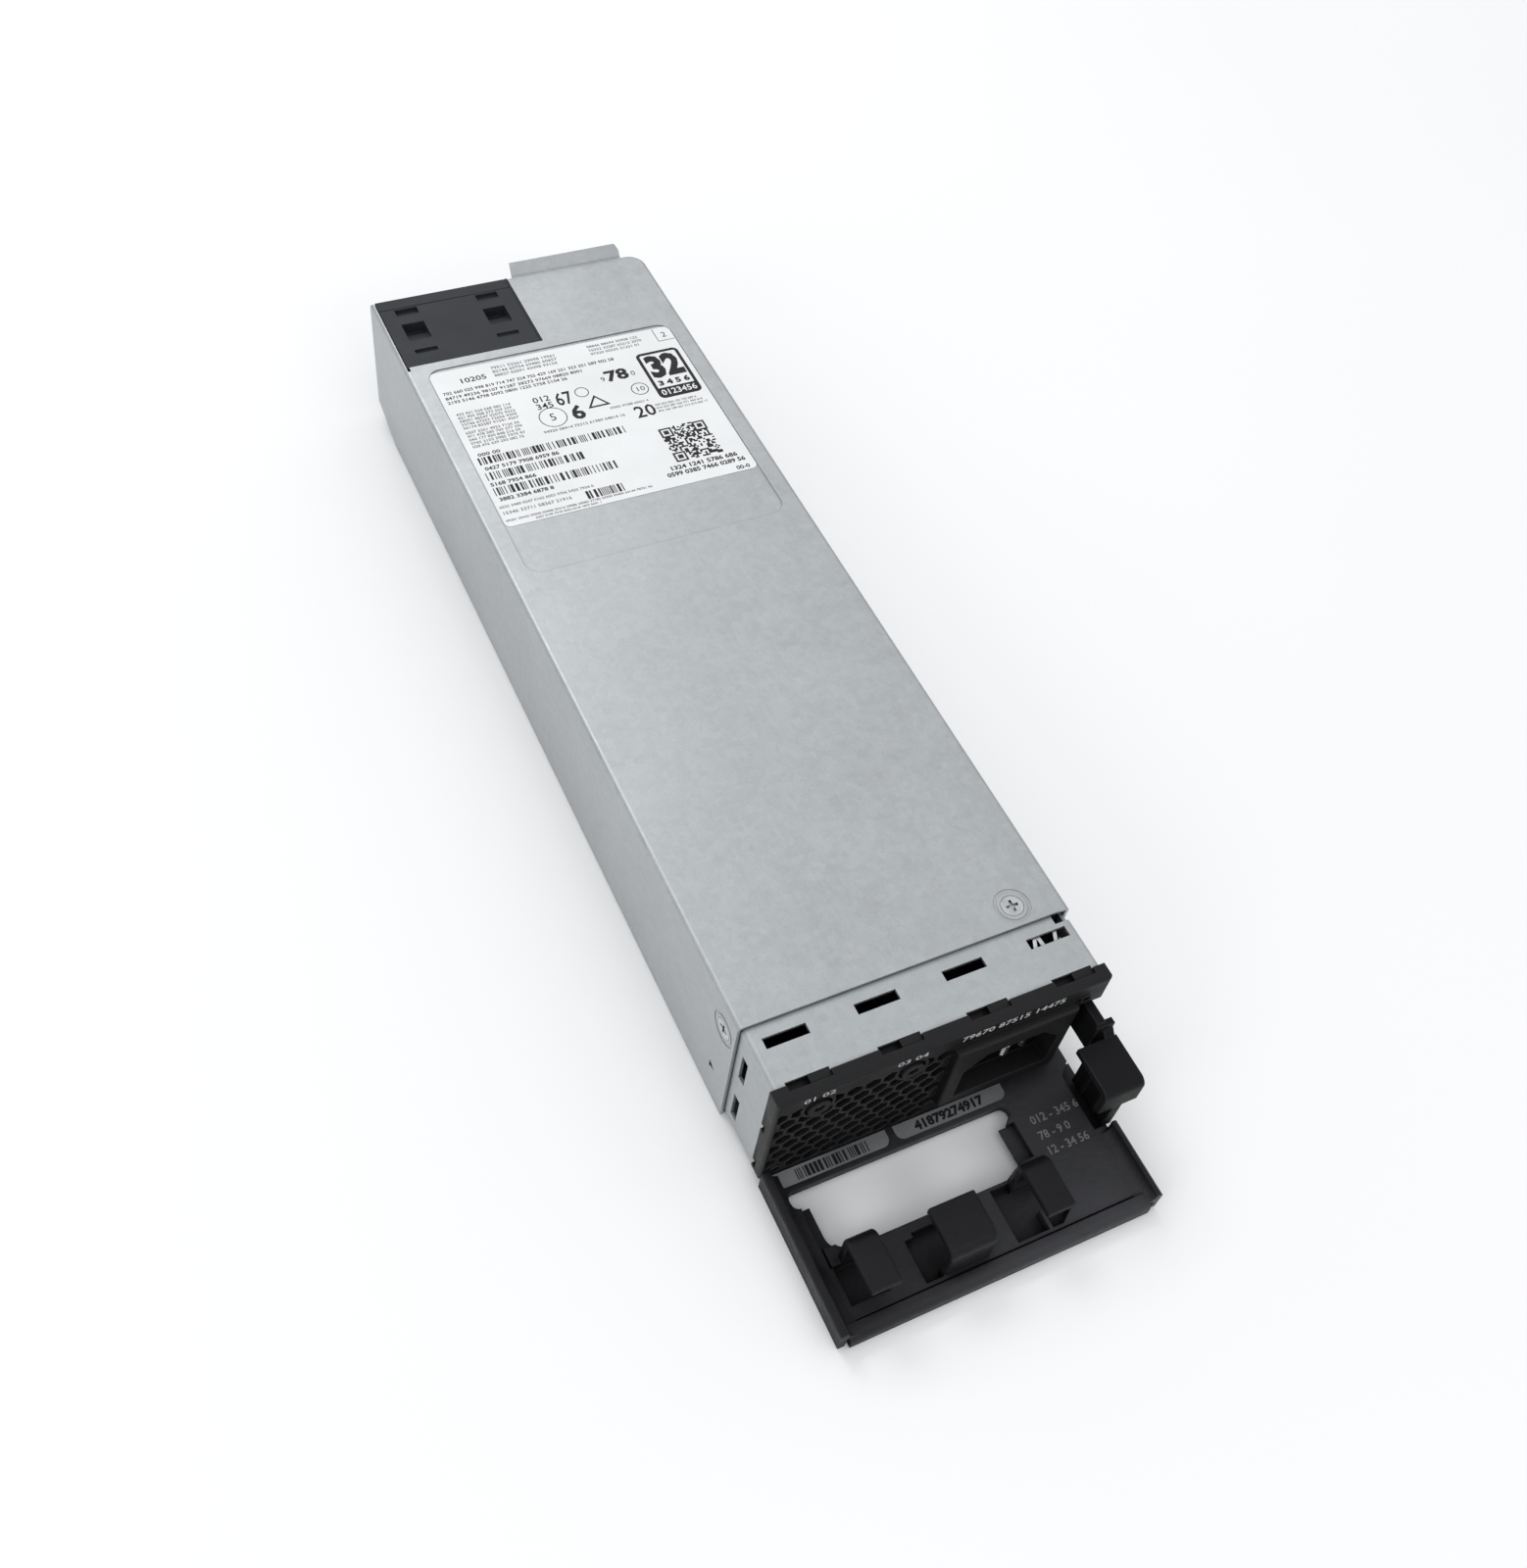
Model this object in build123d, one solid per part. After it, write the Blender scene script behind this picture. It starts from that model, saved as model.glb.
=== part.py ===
from build123d import *
import math
import os

# Driving dimensions, in millimetres. X runs right as seen from the front, Y to the rear, Z up.
# The origin is the middle of the flat underside, halfway along the main shell.
# A setback or a reach runs along Y from the seam between shell and collar, an inset along X
# from the named side, and a drop downward from the named top.

# Sheet-metal shell
shell_width = 82.5
shell_height = 40.1
shell_length = 248.3
sheet = 0.8
bend_radius = 1.2
rear_corner_radius = 5.0
ramp_length = 15.0
ramp_height = 5.0
base_flange_height = 9.0
sheet_fit = 0.15
tab_rise = 3.0
tab_reach = 2.1
tab_gap = 2.2
tab_inset = 6.35
tab_root = 3.0
tab_corner_radius = 2.2
relief_length = 1.6
relief_width = 0.8

# Shallow pressed field for the label, on the top
field_width = 72.0
field_front = 135.0
field_back = 215.6
field_depth = 0.3
field_radius = 4.0

# Cover screws
screw_setback = 5.2
top_screw_inset = 12.15
side_screw_drop = 8.6
cover_screw_head_radius = 2.6
cover_screw_radius = 1.45
cover_screw_length = 2.6
screw_dish_radius = 4.4
screw_dish_depth = 0.15
cross_length = 3.0
cross_width = 0.7
cross_depth = 0.5
screw_clearance = 0.1
dimple_setback = 6.9
dimple_z = 11.0
dimple_size = 2.6

# Front collar
collar_length = 15.1
collar_overlap = 10.0
collar_inset = 0.95
slot_pitch = 21.65
slot_width = 10.2
slot_depth = 2.6
slot_setback = 3.3
slot_shift = 0.4
side_slot_height = 9.5
side_slot_pitch = 17.6
side_slot_z = 9.75
side_slot_setback = 2.4
notch_depth = 0.9
corner_notch = 4.0
corner_notch_depth = 2.2
corner_notch_drop = 2.0

# Front bezel
bezel_depth = 3.9
bezel_inset = 0.25
bezel_drop = 0.3
bezel_wall = 2.2
bezel_rim = 1.4
bezel_edge_radius = 0.8
skirt_wall = 1.5
skirt_length = 9.6
skirt_fit = 0.2
pocket_depth = 1.5
pocket_drop = 2.4
tab_width = 5.0
tab_start = 0.3
tab_drop = 3.0

# Hexagon grille
hex_pitch = 4.37
hex_row = 3.7
hex_web = 0.75
hex_gap = 4.0
hex_bottom = 6.9
hex_top_margin = 6.5
hex_side_margin = 3.0
hex_edge = 0.8

# Status light wells
well_inset = 10.4
well_gap = 5.8
well_drop = 7.4
well_radius = 3.3
well_depth = 1.2
well_ring_radius = 2.7
well_ring_reach = 0.6
lens_radius = 1.25
lens_length = 9.0
lens_fit = 0.05
lens_recess = 0.2
blank_inset = 5.6
blank_drop = 5.8
blank_radius = 1.0
blank_ring_radius = 1.6
blank_ring_reach = 0.3
blank_depth = 0.8
grille_post_radius = 1.45

# Power inlet
inlet_inset = 15.2
inlet_drop = 13.3
inlet_opening_width = 24.4
inlet_opening_height = 16.6
inlet_chamfer = 5.0
inlet_wall = 1.4
inlet_cavity_depth = 17.0
inlet_back_wall = 3.0
surround_inset = 8.7
surround_width = 30.7
surround_drop = 4.6
surround_height = 24.7
surround_depth = 2.35
surround_radius = 0.7
pin_spacing = 14.0
pin_offset = 2.0
pin_height = 4.0
pin_width = 2.0
pin_length = 13.6
pin_tail = 5.0
earth_extra = 1.9

# Cord tray
tray_reach = 58.7
tray_inset = 0.4
tray_floor_bottom = 1.6
tray_floor_top = 4.0
tray_rim_height = 7.3
tray_rim_wall = 1.7
tray_rim_round = 1.5
tray_fillet = 3.0
lip_depth = 3.3
lip_top = 4.6
lip_round = 2.6
lip_groove = 0.5
lip_groove_depth = 0.6
rim_gap = 0.8
pan_thickness = 0.8
pan_wall = 0.8

# Hand hole in the tray
window_back = 24.3
window_hook_gap = 0.2
window_left_inset = 3.7
window_right_inset = 21.0
window_step_width = 3.9
window_step_y = 28.6
window_nick_width = 4.0
window_nick_y = 28.9
window_nick_slope = 2.2
window_slope_width = 9.2
window_slope_length = 2.6
window_radius = 1.9
window_curve_radius = 5.0
ledge_width = 3.6
left_ledge_width = 2.2
left_ledge_gap = 2.0
ledge_top = 2.2
slit_inset = 5.5
slit_start = 31.0
slit_overrun = 2.6
slit_width = 0.6

# Cord hooks
hook_side_inset = 11.55
hook_middle_x = -7.5
hook_narrow = 7.2
hook_wide = 11.6
hook_top = 14.5
hook_plate = 1.8
hook_wall = 2.0
hook_front_gap = 4.6
hook_depth = 13.3
hook_short_back = 1.6
hook_short_front = 0.1
hook_radius = 3.0
hook_inner_radius = 1.4
hook_edge_radius = 0.7
left_pit_margin = 2.2
middle_pit_margin = 4.4
right_pit_margin = 5.0
right_pit_reach = 2.7
right_pit_back_gap = 0.5
pit_corner = 2.2
pit_rib_width = 0.9
pit_rib_length = 4.5
groove_margin = 3.6

# Release latch
pivot_setback = 2.0
pivot_inset = 3.95
pivot_radius = 1.2
pivot_fit = 0.05
barrel_wall = 0.75
arm_thickness = 2.2
arm_inset = 5.05
arm_drop = 9.0
arm_height = 10.8
arm_end = 24.6
arm_shoulder = 1.0
blade_inset = 0.45
blade_width = 2.6
blade_back = 23.6
blade_front = 37.3
blade_bottom = 2.4
blade_heel = 3.0
web_thickness = 1.6
pad_width = 10.25
pad_back = 26.6
pad_front = 39.2
pad_drop = 13.2
pad_height = 8.0
pad_wall = 1.8
pad_radius = 2.2
rib_reach = 0.5
rib_width = 1.0
rib_setback = 28.5
rib_pitch = 5.0
rib_count = 2
tooth_front = 14.2
tooth_back = 11.8
tooth_drop = 11.4
tooth_height = 4.8
tooth_reach = 0.7
tooth_root = 0.5
latch_room = 0.5
latch_cut_inset = 6.35
recess_inset = 5.45
recess_front = 37.8
recess_back = 21.0
recess_corner_x = 3.5
recess_corner_y = 2.4

# Cooling fan
fan_gap = 0.1
fan_inset = 1.0
fan_standoff = 0.5
fan_depth = 28.0
fan_rim = 0.9
fan_hole_inset = 2.7
fan_hole_radius = 1.6
hub_radius = 8.4
hub_depth = 17.0
hub_wall = 1.4
hub_boss_wall = 1.2
hub_edge_radius = 1.5
hub_gap = 0.6
blade_count = 7
blade_tip_gap = 0.6
blade_root_sink = 0.8
blade_thickness = 1.0
blade_root_angle = 52.0
blade_tip_angle = 34.0
blade_chord = 15.0
strut_count = 3
strut_width = 2.6
strut_depth = 2.4
strut_turn = 30.0
fan_shaft_radius = 1.0
fan_shaft_fit = 0.05
fan_shaft_length = 14.0

# Circuit board and what it carries
board_thickness = 1.6
board_bottom = 5.0
board_side_gap = 0.7
board_start = 36.0
board_end_gap = 4.0
board_hole_radius = 1.7
board_hole_inset = 5.0
board_hole_setback = 4.0
board_hole_rear_gap = 6.0
standoff_radius = 2.6
standoff_bore = 1.35
standoff_web = 0.5
screw_shank = 1.3
screw_head = 2.7
screw_head_height = 1.6
insulator = 0.3
choke_setback = 30.0
choke_stagger = 4.0
choke_side_gap = 5.9
choke_film_gap = 3.1
choke_split = 2.5
choke_inner = 5.2
choke_height = 12.0
choke_gap = 0.2
winding_grow = 1.4
film_cap_inset = 10.8
film_cap_setback = 14.0
film_cap_gap = 4.0
film_cap_width = 12.0
film_cap_length = 26.0
film_cap_height = 20.0
film_cap_radius = 1.0
bulk_cap_inset = 16.8
bulk_cap_setback = 62.0
bulk_cap_gap = 1.5
bulk_cap_radius = 12.5
bulk_cap_headroom = 2.7
crimp_depth = 0.6
crimp_height = 2.5
core_inset = 0.8
core_side_gap = 1.2
transformer_setback = 104.0
core_length = 30.0
core_headroom = 5.7
core_leg_share = 0.36
core_wall_share = 0.11
winding_gap = 0.4
winding_overhang = 5.0
heatsink_cap_gap = 2.0
heatsink_left_setback = 56.0
heatsink_left_length = 58.0
heatsink_right_inset = 20.8
heatsink_right_gap = 21.0
heatsink_rear_gap = 17.1
heatsink_headroom = 5.1
heatsink_plate = 2.5
fin_reach = 9.0
fin_count = 5
fin_thickness = 1.2
fin_gap = 3.6
transistor_width = 15.6
transistor_drop = 2.6
transistor_thickness = 4.8
transistor_lift = 5.0
transistor_spacing = 2.0
lead_pitch = 5.4
lead_size = 0.9
output_cap_inset = 6.8
output_cap_setback = 132.0
output_cap_rear_gap = 30.0
output_cap_gap = 1.4
output_cap_columns = 3
output_cap_radius = 4.0
output_cap_height = 14.0
card_inset = 4.0
card_thickness = 1.2
card_headroom = 6.7
card_length = 58.0
card_rear_gap = 11.1

# Rear output connector
connector_inset = 1.35
connector_width = 38.9
connector_length = 29.2
connector_drop = 0.4
connector_heel = 0.3
connector_fit = 0.4
socket_count = 6
socket_pitch = 6.2
socket_width = 3.0
socket_drop = 9.2
socket_bottom = 10.5
socket_depth = 16.0
contact_thickness = 0.8
contact_setback = 2.0
coring_width = 6.5
coring_left_inset = 7.4
coring_right_inset = 7.7
coring_slope = 0.45
rear_coring_setback = 4.5
rear_coring_length = 3.3
middle_coring_setback = 11.1
middle_coring_length = 7.7
front_coring_setback = 22.5
front_coring_length = 2.1
step_setback = 3.8
step_width = 0.4
step_depth = 0.3
nub_left_inset = 10.4
nub_right_inset = 11.0
nub_radius = 1.2
nub_height = 1.2
nub_drop = 0.4

# Rear vent panel
vent_radius = 1.75
vent_pitch = 4.6
panel_fit = 0.2

# Small overlap that joins two bodies or carries a cut through a face
joining = 0.1

# Shell and collar, worked out from the sizes above
half_width = shell_width / 2
seam = -shell_length / 2
back = shell_length / 2
inner_half = half_width - sheet
inner_top = shell_height - sheet
collar_front = seam - collar_length
collar_half = half_width - collar_inset
collar_bottom = collar_inset
collar_top = shell_height - collar_inset
collar_inner_half = collar_half - sheet
top_screw_x = half_width - top_screw_inset
side_screw_z = shell_height - side_screw_drop
connector_left = -half_width + connector_inset
connector_right = connector_left + connector_width
connector_front = back - connector_length
connector_top = shell_height - connector_drop
tab_left = connector_right + tab_gap
tab_right = half_width - tab_inset

# Bezel, grille and inlet, worked out
bezel_front = collar_front - bezel_depth
bezel_half = half_width - bezel_inset
bezel_top = shell_height - bezel_drop
surround_right = bezel_half - surround_inset
surround_left = surround_right - surround_width
surround_top = bezel_top - surround_drop
surround_bottom = surround_top - surround_height
inlet_x = surround_right - inlet_inset
inlet_z = surround_top - inlet_drop
inlet_back = bezel_front - surround_depth + inlet_cavity_depth
inlet_end = inlet_back + inlet_back_wall + pin_tail
hex_right = surround_left - hex_gap
hex_left_limit = -bezel_half + hex_edge
hex_columns = int((hex_right + bezel_half - hex_side_margin) / hex_pitch) + 1
hex_rows = int((bezel_top - hex_top_margin - hex_bottom) / hex_row) + 1
well_left_x = -bezel_half + well_inset
well_right_x = hex_right - well_gap
well_z = bezel_top - well_drop
blank_x = bezel_half - blank_inset
blank_z = bezel_top - blank_drop

# Tray and hooks, worked out
tray_half = bezel_half - tray_inset
hook_pitch = hook_middle_x + tray_half - hook_side_inset
hook_front = tray_reach - hook_front_gap
hook_back = hook_front - hook_depth
window_left = -tray_half + window_left_inset
window_right = tray_half - window_right_inset
window_step_x = window_left + window_step_width
window_nick_x = window_right - window_nick_width
window_slope_x = window_right - window_slope_width
window_front = hook_back - window_hook_gap
window_slope_y = window_front - window_slope_length
slit_x = -tray_half + slit_inset

# Latch, worked out
pivot_x = half_width - pivot_inset
arm_inner_x = half_width - arm_inset
arm_outer_x = arm_inner_x + arm_thickness
arm_top = bezel_top - arm_drop
arm_bottom = arm_top - arm_height
blade_outer_x = half_width - blade_inset
blade_inner_x = blade_outer_x - blade_width
pad_left = half_width - pad_width
pad_top = bezel_top - pad_drop
pad_bottom = pad_top - pad_height
tooth_top = bezel_top - tooth_drop
tooth_bottom = tooth_top - tooth_height
latch_cut_x = half_width - latch_cut_inset
recess_x = half_width - recess_inset

# Fan and board, worked out
fan_size = collar_top - collar_bottom - 2 * sheet - 2 * fan_gap
fan_x = -collar_inner_half + fan_inset + fan_size / 2
fan_z = (collar_bottom + collar_top) / 2
fan_front = inlet_end + fan_standoff
fan_duct_radius = fan_size / 2 - fan_rim
board_half = inner_half - sheet_fit - sheet - board_side_gap
board_top = board_bottom + board_thickness
board_front = seam + board_start
headroom = inner_top - board_top
film_cap_x = -board_half + film_cap_inset
choke_left = film_cap_x + film_cap_width / 2 + choke_film_gap
choke_right = board_half - choke_side_gap
wound_radius = (choke_right - choke_left - choke_gap) / 4
choke_outer = wound_radius - winding_grow
bulk_cap_x = board_half - bulk_cap_inset
heatsink_height = headroom - heatsink_headroom
heatsink_left_x = bulk_cap_x - bulk_cap_radius - heatsink_cap_gap - fin_reach - heatsink_plate
heatsink_right_x = board_half - heatsink_right_inset
transistor_height = heatsink_height - transistor_lift - transistor_drop
core_left = -board_half + core_inset
core_width = heatsink_left_x - transistor_thickness - core_side_gap - core_left
core_height = headroom - core_headroom
core_leg = core_leg_share * core_width
core_wall = core_wall_share * core_width
transformer_x = core_left + core_width / 2
transformer_y = board_front + transformer_setback
output_cap_x = -board_half + output_cap_inset
output_cap_pitch = 2 * output_cap_radius + output_cap_gap
output_cap_room = connector_front - output_cap_rear_gap - board_front - output_cap_setback
output_cap_rows = int(output_cap_room / output_cap_pitch) + 1
far = 400.0


def block(x0, x1, y0, y1, z0, z1):
    """A box between two corners."""
    middle = Pos((x0 + x1) / 2, (y0 + y1) / 2, (z0 + z1) / 2)
    return middle * Box(x1 - x0, y1 - y0, z1 - z0)


def prism_x(points, x0, x1):
    """A closed (y, z) outline pushed along X."""
    face = make_face(Polyline(*[(x0, y, z) for y, z in points], close=True))
    return extrude(face, amount=x1 - x0, dir=(1, 0, 0))


def prism_y(points, y0, y1):
    """A closed (x, z) outline pushed along Y."""
    face = make_face(Polyline(*[(x, y0, z) for x, z in points], close=True))
    return extrude(face, amount=y1 - y0, dir=(0, 1, 0))


def prism_z(points, z0, z1):
    """A closed (x, y) outline pushed along Z."""
    face = make_face(Polyline(*[(x, y, z0) for x, y in points], close=True))
    return extrude(face, amount=z1 - z0, dir=(0, 0, 1))


def rod_y(radius, x, y0, y1, z):
    return Pos(x, (y0 + y1) / 2, z) * Rot(90, 0, 0) * Cylinder(radius, y1 - y0)


def rod_z(radius, x, y, z0, z1):
    return Pos(x, y, (z0 + z1) / 2) * Cylinder(radius, z1 - z0)


def edges_near(solid, axis, x=None, y=None, z=None):
    """Edges along an axis whose middle lies at the given places."""
    found = []
    for edge in solid.edges().filter_by(axis):
        middle = edge.center()
        wanted = ((x, middle.X), (y, middle.Y), (z, middle.Z))
        if all(want is None or abs(want - got) < 0.01 for want, got in wanted):
            found.append(edge)
    return found


def save(name, shape):
    export_step(shape, os.path.join("parts", name + ".step"))


def group(solids):
    """Separate solids of one node."""
    return Compound(children=list(solids))


# The shell: cover, base and rear panel

def shell_plan(grow, front, rear):
    """The shell's outline seen from above, with its rounded rear right corner."""
    half = half_width - grow
    radius = rear_corner_radius - grow
    body = block(-half, half, front, rear, -far, far)
    return fillet(edges_near(body, Axis.Z, x=half, y=rear), radius)


def label_field():
    """The shallow pressed area that the label lies in."""
    front = seam + field_front
    rear = seam + field_back
    floor = shell_height - field_depth
    body = block(-field_width / 2, field_width / 2, front, rear, floor, shell_height + 1)
    return fillet(body.edges().filter_by(Axis.Z), field_radius)


def top_tab():
    """The stepped tab that stands up behind the top sheet."""
    outer = [
        (back - tab_root, inner_top),
        (back - tab_root, shell_height),
        (back, shell_height),
        (back + tab_reach, shell_height + tab_rise),
        (back + tab_reach + sheet, shell_height + tab_rise - sheet / 2),
        (back + sheet, inner_top),
    ]
    tab = prism_x(outer, tab_left, tab_right)
    round_x = tab_right - tab_corner_radius
    round_z = shell_height + tab_rise - tab_corner_radius
    corner = block(round_x, tab_right, back + tab_reach / 2, back + far, inner_top, shell_height + far)
    return tab - (corner - rod_y(tab_corner_radius, round_x, back - far, back + far, round_z))


def connector_notch():
    """The opening in the top sheet over the rear connector, with a relief slit at its corner."""
    left = connector_left - connector_fit
    right = connector_right + connector_fit
    front = connector_front - connector_fit
    low = inner_top - joining
    high = shell_height + 1
    slit = block(left, left + relief_width, front - relief_length, front + joining, low, high)
    return slit + block(left, right, front, back + far, low, high)


def screw_places():
    """Place and outward direction of each cover screw."""
    y = seam + screw_setback
    return [
        ((top_screw_x, y, shell_height), (0, 0, 1)),
        ((-half_width, y, side_screw_z), (-1, 0, 0)),
        ((half_width, y, side_screw_z), (1, 0, 0)),
    ]


def along(place, direction, radius, inward, outward):
    """A round bar along a direction, from outside a face to inside it."""
    plane = Plane(origin=place, z_dir=direction)
    bar = Cylinder(radius, inward + outward, align=(Align.CENTER, Align.CENTER, Align.MIN))
    return plane * Pos(0, 0, -inward) * bar


def cross_recess(place, direction):
    plane = Plane(origin=place, z_dir=direction)
    cut = Box(cross_length, cross_width, 2 * cross_depth)
    return plane * (cut + Rot(0, 0, 90) * cut)


def cover_screw(place, direction):
    """A low screw whose head fills the hole in the cover."""
    head = along(place, direction, cover_screw_head_radius, sheet, 0)
    shank = along(place, direction, cover_screw_radius, cover_screw_length, 0)
    return head + shank - cross_recess(place, direction)


def top_cover():
    """Top sheet and both side walls, bent from one piece."""
    outer = shell_plan(0, seam, back) & block(-far, far, seam, back, 0, shell_height)
    bends = edges_near(outer, Axis.Y, x=-half_width, z=shell_height)
    bends += edges_near(outer, Axis.Y, x=half_width, z=shell_height)
    outer = fillet(bends, bend_radius)
    inner = shell_plan(sheet, seam - far, back - sheet)
    inner &= block(-far, far, -far, far, -far, inner_top)
    rear_opening = block(
        -inner_half, half_width - rear_corner_radius, back - 2 * sheet, back + far, -far, inner_top
    )
    cover = outer - inner - rear_opening
    cover += top_tab()
    cover -= connector_notch()
    cover -= label_field()
    ramp = [(back - ramp_length, -1), (back - ramp_length, 0), (back, ramp_height), (back + 1, -1)]
    cover -= prism_x(ramp, -far, far)
    for place, direction in screw_places():
        cover -= along(place, direction, cover_screw_head_radius + screw_clearance, 2 * sheet, 1)
        ring = along(place, direction, screw_dish_radius, screw_dish_depth, 1)
        ring -= along(place, direction, screw_dish_radius - sheet, 1, 2)
        cover -= ring
    for side in (-1, 1):
        cover -= side_dimple(side)
    return cover


def side_dimple(side):
    """A small three-cornered lance in the side wall."""
    y = seam + dimple_setback
    half = dimple_size / 2
    points = [(y - half, dimple_z), (y + half, dimple_z + half), (y + half, dimple_z - half)]
    edge = side * half_width
    return prism_x(points, min(edge, edge - side * 2 * sheet), max(edge, edge - side * 2 * sheet))


def base_tray():
    """Bottom sheet with low side flanges and a raised rear ramp."""
    half = inner_half - sheet_fit
    ramp_start = back - ramp_length
    rear = back - panel_fit
    slope = ramp_height / ramp_length
    rear_z = ramp_height * (rear - ramp_start) / ramp_length
    lift = sheet * math.hypot(1, slope)
    floor = [
        (seam, 0),
        (ramp_start, 0),
        (rear, rear_z),
        (rear, rear_z + lift),
        (ramp_start - sheet * (math.hypot(1, slope) - 1) / slope, sheet),
        (seam, sheet),
    ]
    body = prism_x(floor, -half, half)
    start = seam + collar_overlap + rim_gap
    end = connector_front - rim_gap
    for side in (-1, 1):
        outer = side * half
        inner = side * (half - sheet)
        body += block(min(outer, inner), max(outer, inner), start, end, 0, base_flange_height)
    corner = block(half_width - rear_corner_radius, far, back - rear_corner_radius, far, -far, far)
    round_part = shell_plan(sheet + sheet_fit, seam, back - sheet - sheet_fit)
    return body - (corner - round_part)


def vent_places():
    """Staggered round holes over the free part of the rear panel."""
    left = connector_right + vent_pitch
    right = half_width - rear_corner_radius - vent_pitch / 2
    rows = int((inner_top - ramp_height - 2 * vent_pitch) / (vent_pitch * math.sqrt(3) / 2))
    places = []
    for row in range(rows + 1):
        z = ramp_height + vent_pitch + row * vent_pitch * math.sqrt(3) / 2
        shift = vent_pitch / 2 if row % 2 else 0
        count = int((right - left - shift) / vent_pitch)
        places += [(left + shift + step * vent_pitch, z) for step in range(count + 1)]
    return places


def rear_panel():
    """Upright vented sheet beside the rear connector."""
    left = connector_right + connector_fit
    right = half_width - rear_corner_radius - panel_fit
    bottom = ramp_height + sheet + 3 * panel_fit
    panel = block(left, right, back - sheet, back, bottom, inner_top)
    panel += block(left, left + sheet, back - 4 * sheet, back, bottom, inner_top)
    for x, z in vent_places():
        panel -= rod_y(vent_radius, x, back - 2 * sheet, back + 1, z)
    return panel


# The front collar

def slot_centres():
    """Middle of each slot along X; the row is a little right of centre."""
    return [slot_shift + slot_pitch * (place - 1.5) for place in range(4)]


def side_slot_centres():
    return [side_slot_z, side_slot_z + side_slot_pitch]


def front_collar():
    """Slotted sleeve between the shell and the bezel, tucked inside the shell."""
    rear = seam + collar_overlap
    outer = block(-collar_half, collar_half, collar_front, rear, collar_bottom, collar_top)
    outer = fillet(outer.edges().filter_by(Axis.Y), bend_radius)
    inner = block(
        -collar_inner_half, collar_inner_half, collar_front - 1, rear + 1, collar_bottom + sheet, collar_top - sheet
    )
    collar = outer - inner
    slot_back = seam - slot_setback
    for x in slot_centres():
        half = slot_width / 2
        collar -= block(x - half, x + half, slot_back - slot_depth, slot_back, -1, far)
        collar -= block(x - half, x + half, collar_front - 1, collar_front + notch_depth, -1, far)
    side_back = seam - side_slot_setback
    for z in side_slot_centres():
        half = side_slot_height / 2
        collar -= block(-far, far, side_back - slot_depth, side_back, z - half, z + half)
        collar -= block(-far, far, collar_front - 1, collar_front + notch_depth, z - half, z + half)
    notch_left = collar_half - corner_notch
    notch_front = seam - corner_notch_depth
    collar -= block(notch_left, far, notch_front, seam + notch_depth, collar_top - corner_notch_drop, far)
    collar -= block(
        collar_half - 2 * sheet,
        far,
        seam - tooth_front - latch_room,
        seam - tooth_back + latch_room,
        tooth_bottom - latch_room,
        tooth_top + latch_room,
    )
    collar -= rod_z(pivot_radius + pivot_fit, pivot_x, seam + pivot_setback, 0, shell_height)
    for place, direction in screw_places():
        collar -= along(place, direction, cover_screw_radius + screw_clearance, 3 * collar_inset, 1)
    return collar


def cover_screws():
    return group(cover_screw(place, direction) for place, direction in screw_places())


# The bezel

def inlet_outline(grow):
    """The socket's opening, flat below and cut off at both upper corners."""
    half = inlet_opening_width / 2 + grow
    low = inlet_z - inlet_opening_height / 2 - grow
    high = inlet_z + inlet_opening_height / 2 + grow
    cut = inlet_chamfer
    return [
        (inlet_x - half, low),
        (inlet_x + half, low),
        (inlet_x + half, high - cut),
        (inlet_x + half - cut, high),
        (inlet_x - half + cut, high),
        (inlet_x - half, high - cut),
    ]


def well_places():
    return [(well_left_x, well_z), (well_right_x, well_z)]


def hex_places():
    """Middle of each hexagon; every second row is moved half a pitch and one longer."""
    places = []
    for row in range(hex_rows):
        z = hex_bottom + row * hex_row
        moved = row % 2
        first = hex_right + moved * hex_pitch / 2
        for column in range(hex_columns + moved):
            corner = row == 0 and column == hex_columns - 1
            if not corner:
                places.append((first - column * hex_pitch, z))
    return places


def hex_holes():
    """All grille holes as one cutting body."""
    radius = (hex_pitch - hex_web) / math.sqrt(3)
    cell = make_face(
        Polyline(
            *[
                (radius * math.sin(math.radians(60 * k)), 0, radius * math.cos(math.radians(60 * k)))
                for k in range(6)
            ],
            close=True,
        )
    )
    cutter = extrude(cell, amount=bezel_wall + 2, dir=(0, 1, 0))
    rim = block(-far, hex_left_limit, bezel_front - 2, collar_front, 0, shell_height)
    holes = []
    for x, z in hex_places():
        hole = Pos(x, bezel_front - 1, z) * cutter
        if x - hex_pitch / 2 < hex_left_limit:
            hole -= rim
        holes.append(hole)
    return holes


def bezel_body():
    """Front wall, rim and the skirt that plugs into the collar."""
    half = bezel_half
    body = block(-half, half, bezel_front, collar_front, tray_floor_top, bezel_top)
    side_edges = edges_near(body, Axis.Z, y=bezel_front)
    side_edges += edges_near(body, Axis.X, y=bezel_front, z=bezel_top)
    body = fillet(side_edges, bezel_edge_radius)
    hollow = block(
        -half + bezel_rim,
        half - bezel_rim,
        bezel_front + bezel_wall,
        collar_front + 1,
        tray_floor_top + 1,
        bezel_top - bezel_rim,
    )
    body -= hollow
    skirt_half = collar_inner_half - skirt_fit
    low = collar_bottom + sheet + skirt_fit
    high = collar_top - sheet - skirt_fit
    skirt_front = collar_front - skirt_wall
    skirt_back = collar_front + skirt_length
    skirt = block(-skirt_half, skirt_half, collar_front, skirt_back, low, high)
    skirt += block(-skirt_half, skirt_half, skirt_front, collar_front, tray_floor_top, high)
    skirt -= block(
        -skirt_half + skirt_wall,
        skirt_half - skirt_wall,
        skirt_front - 1,
        skirt_back + 1,
        tray_floor_top + 1,
        high - skirt_wall,
    )
    return body + skirt


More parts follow.
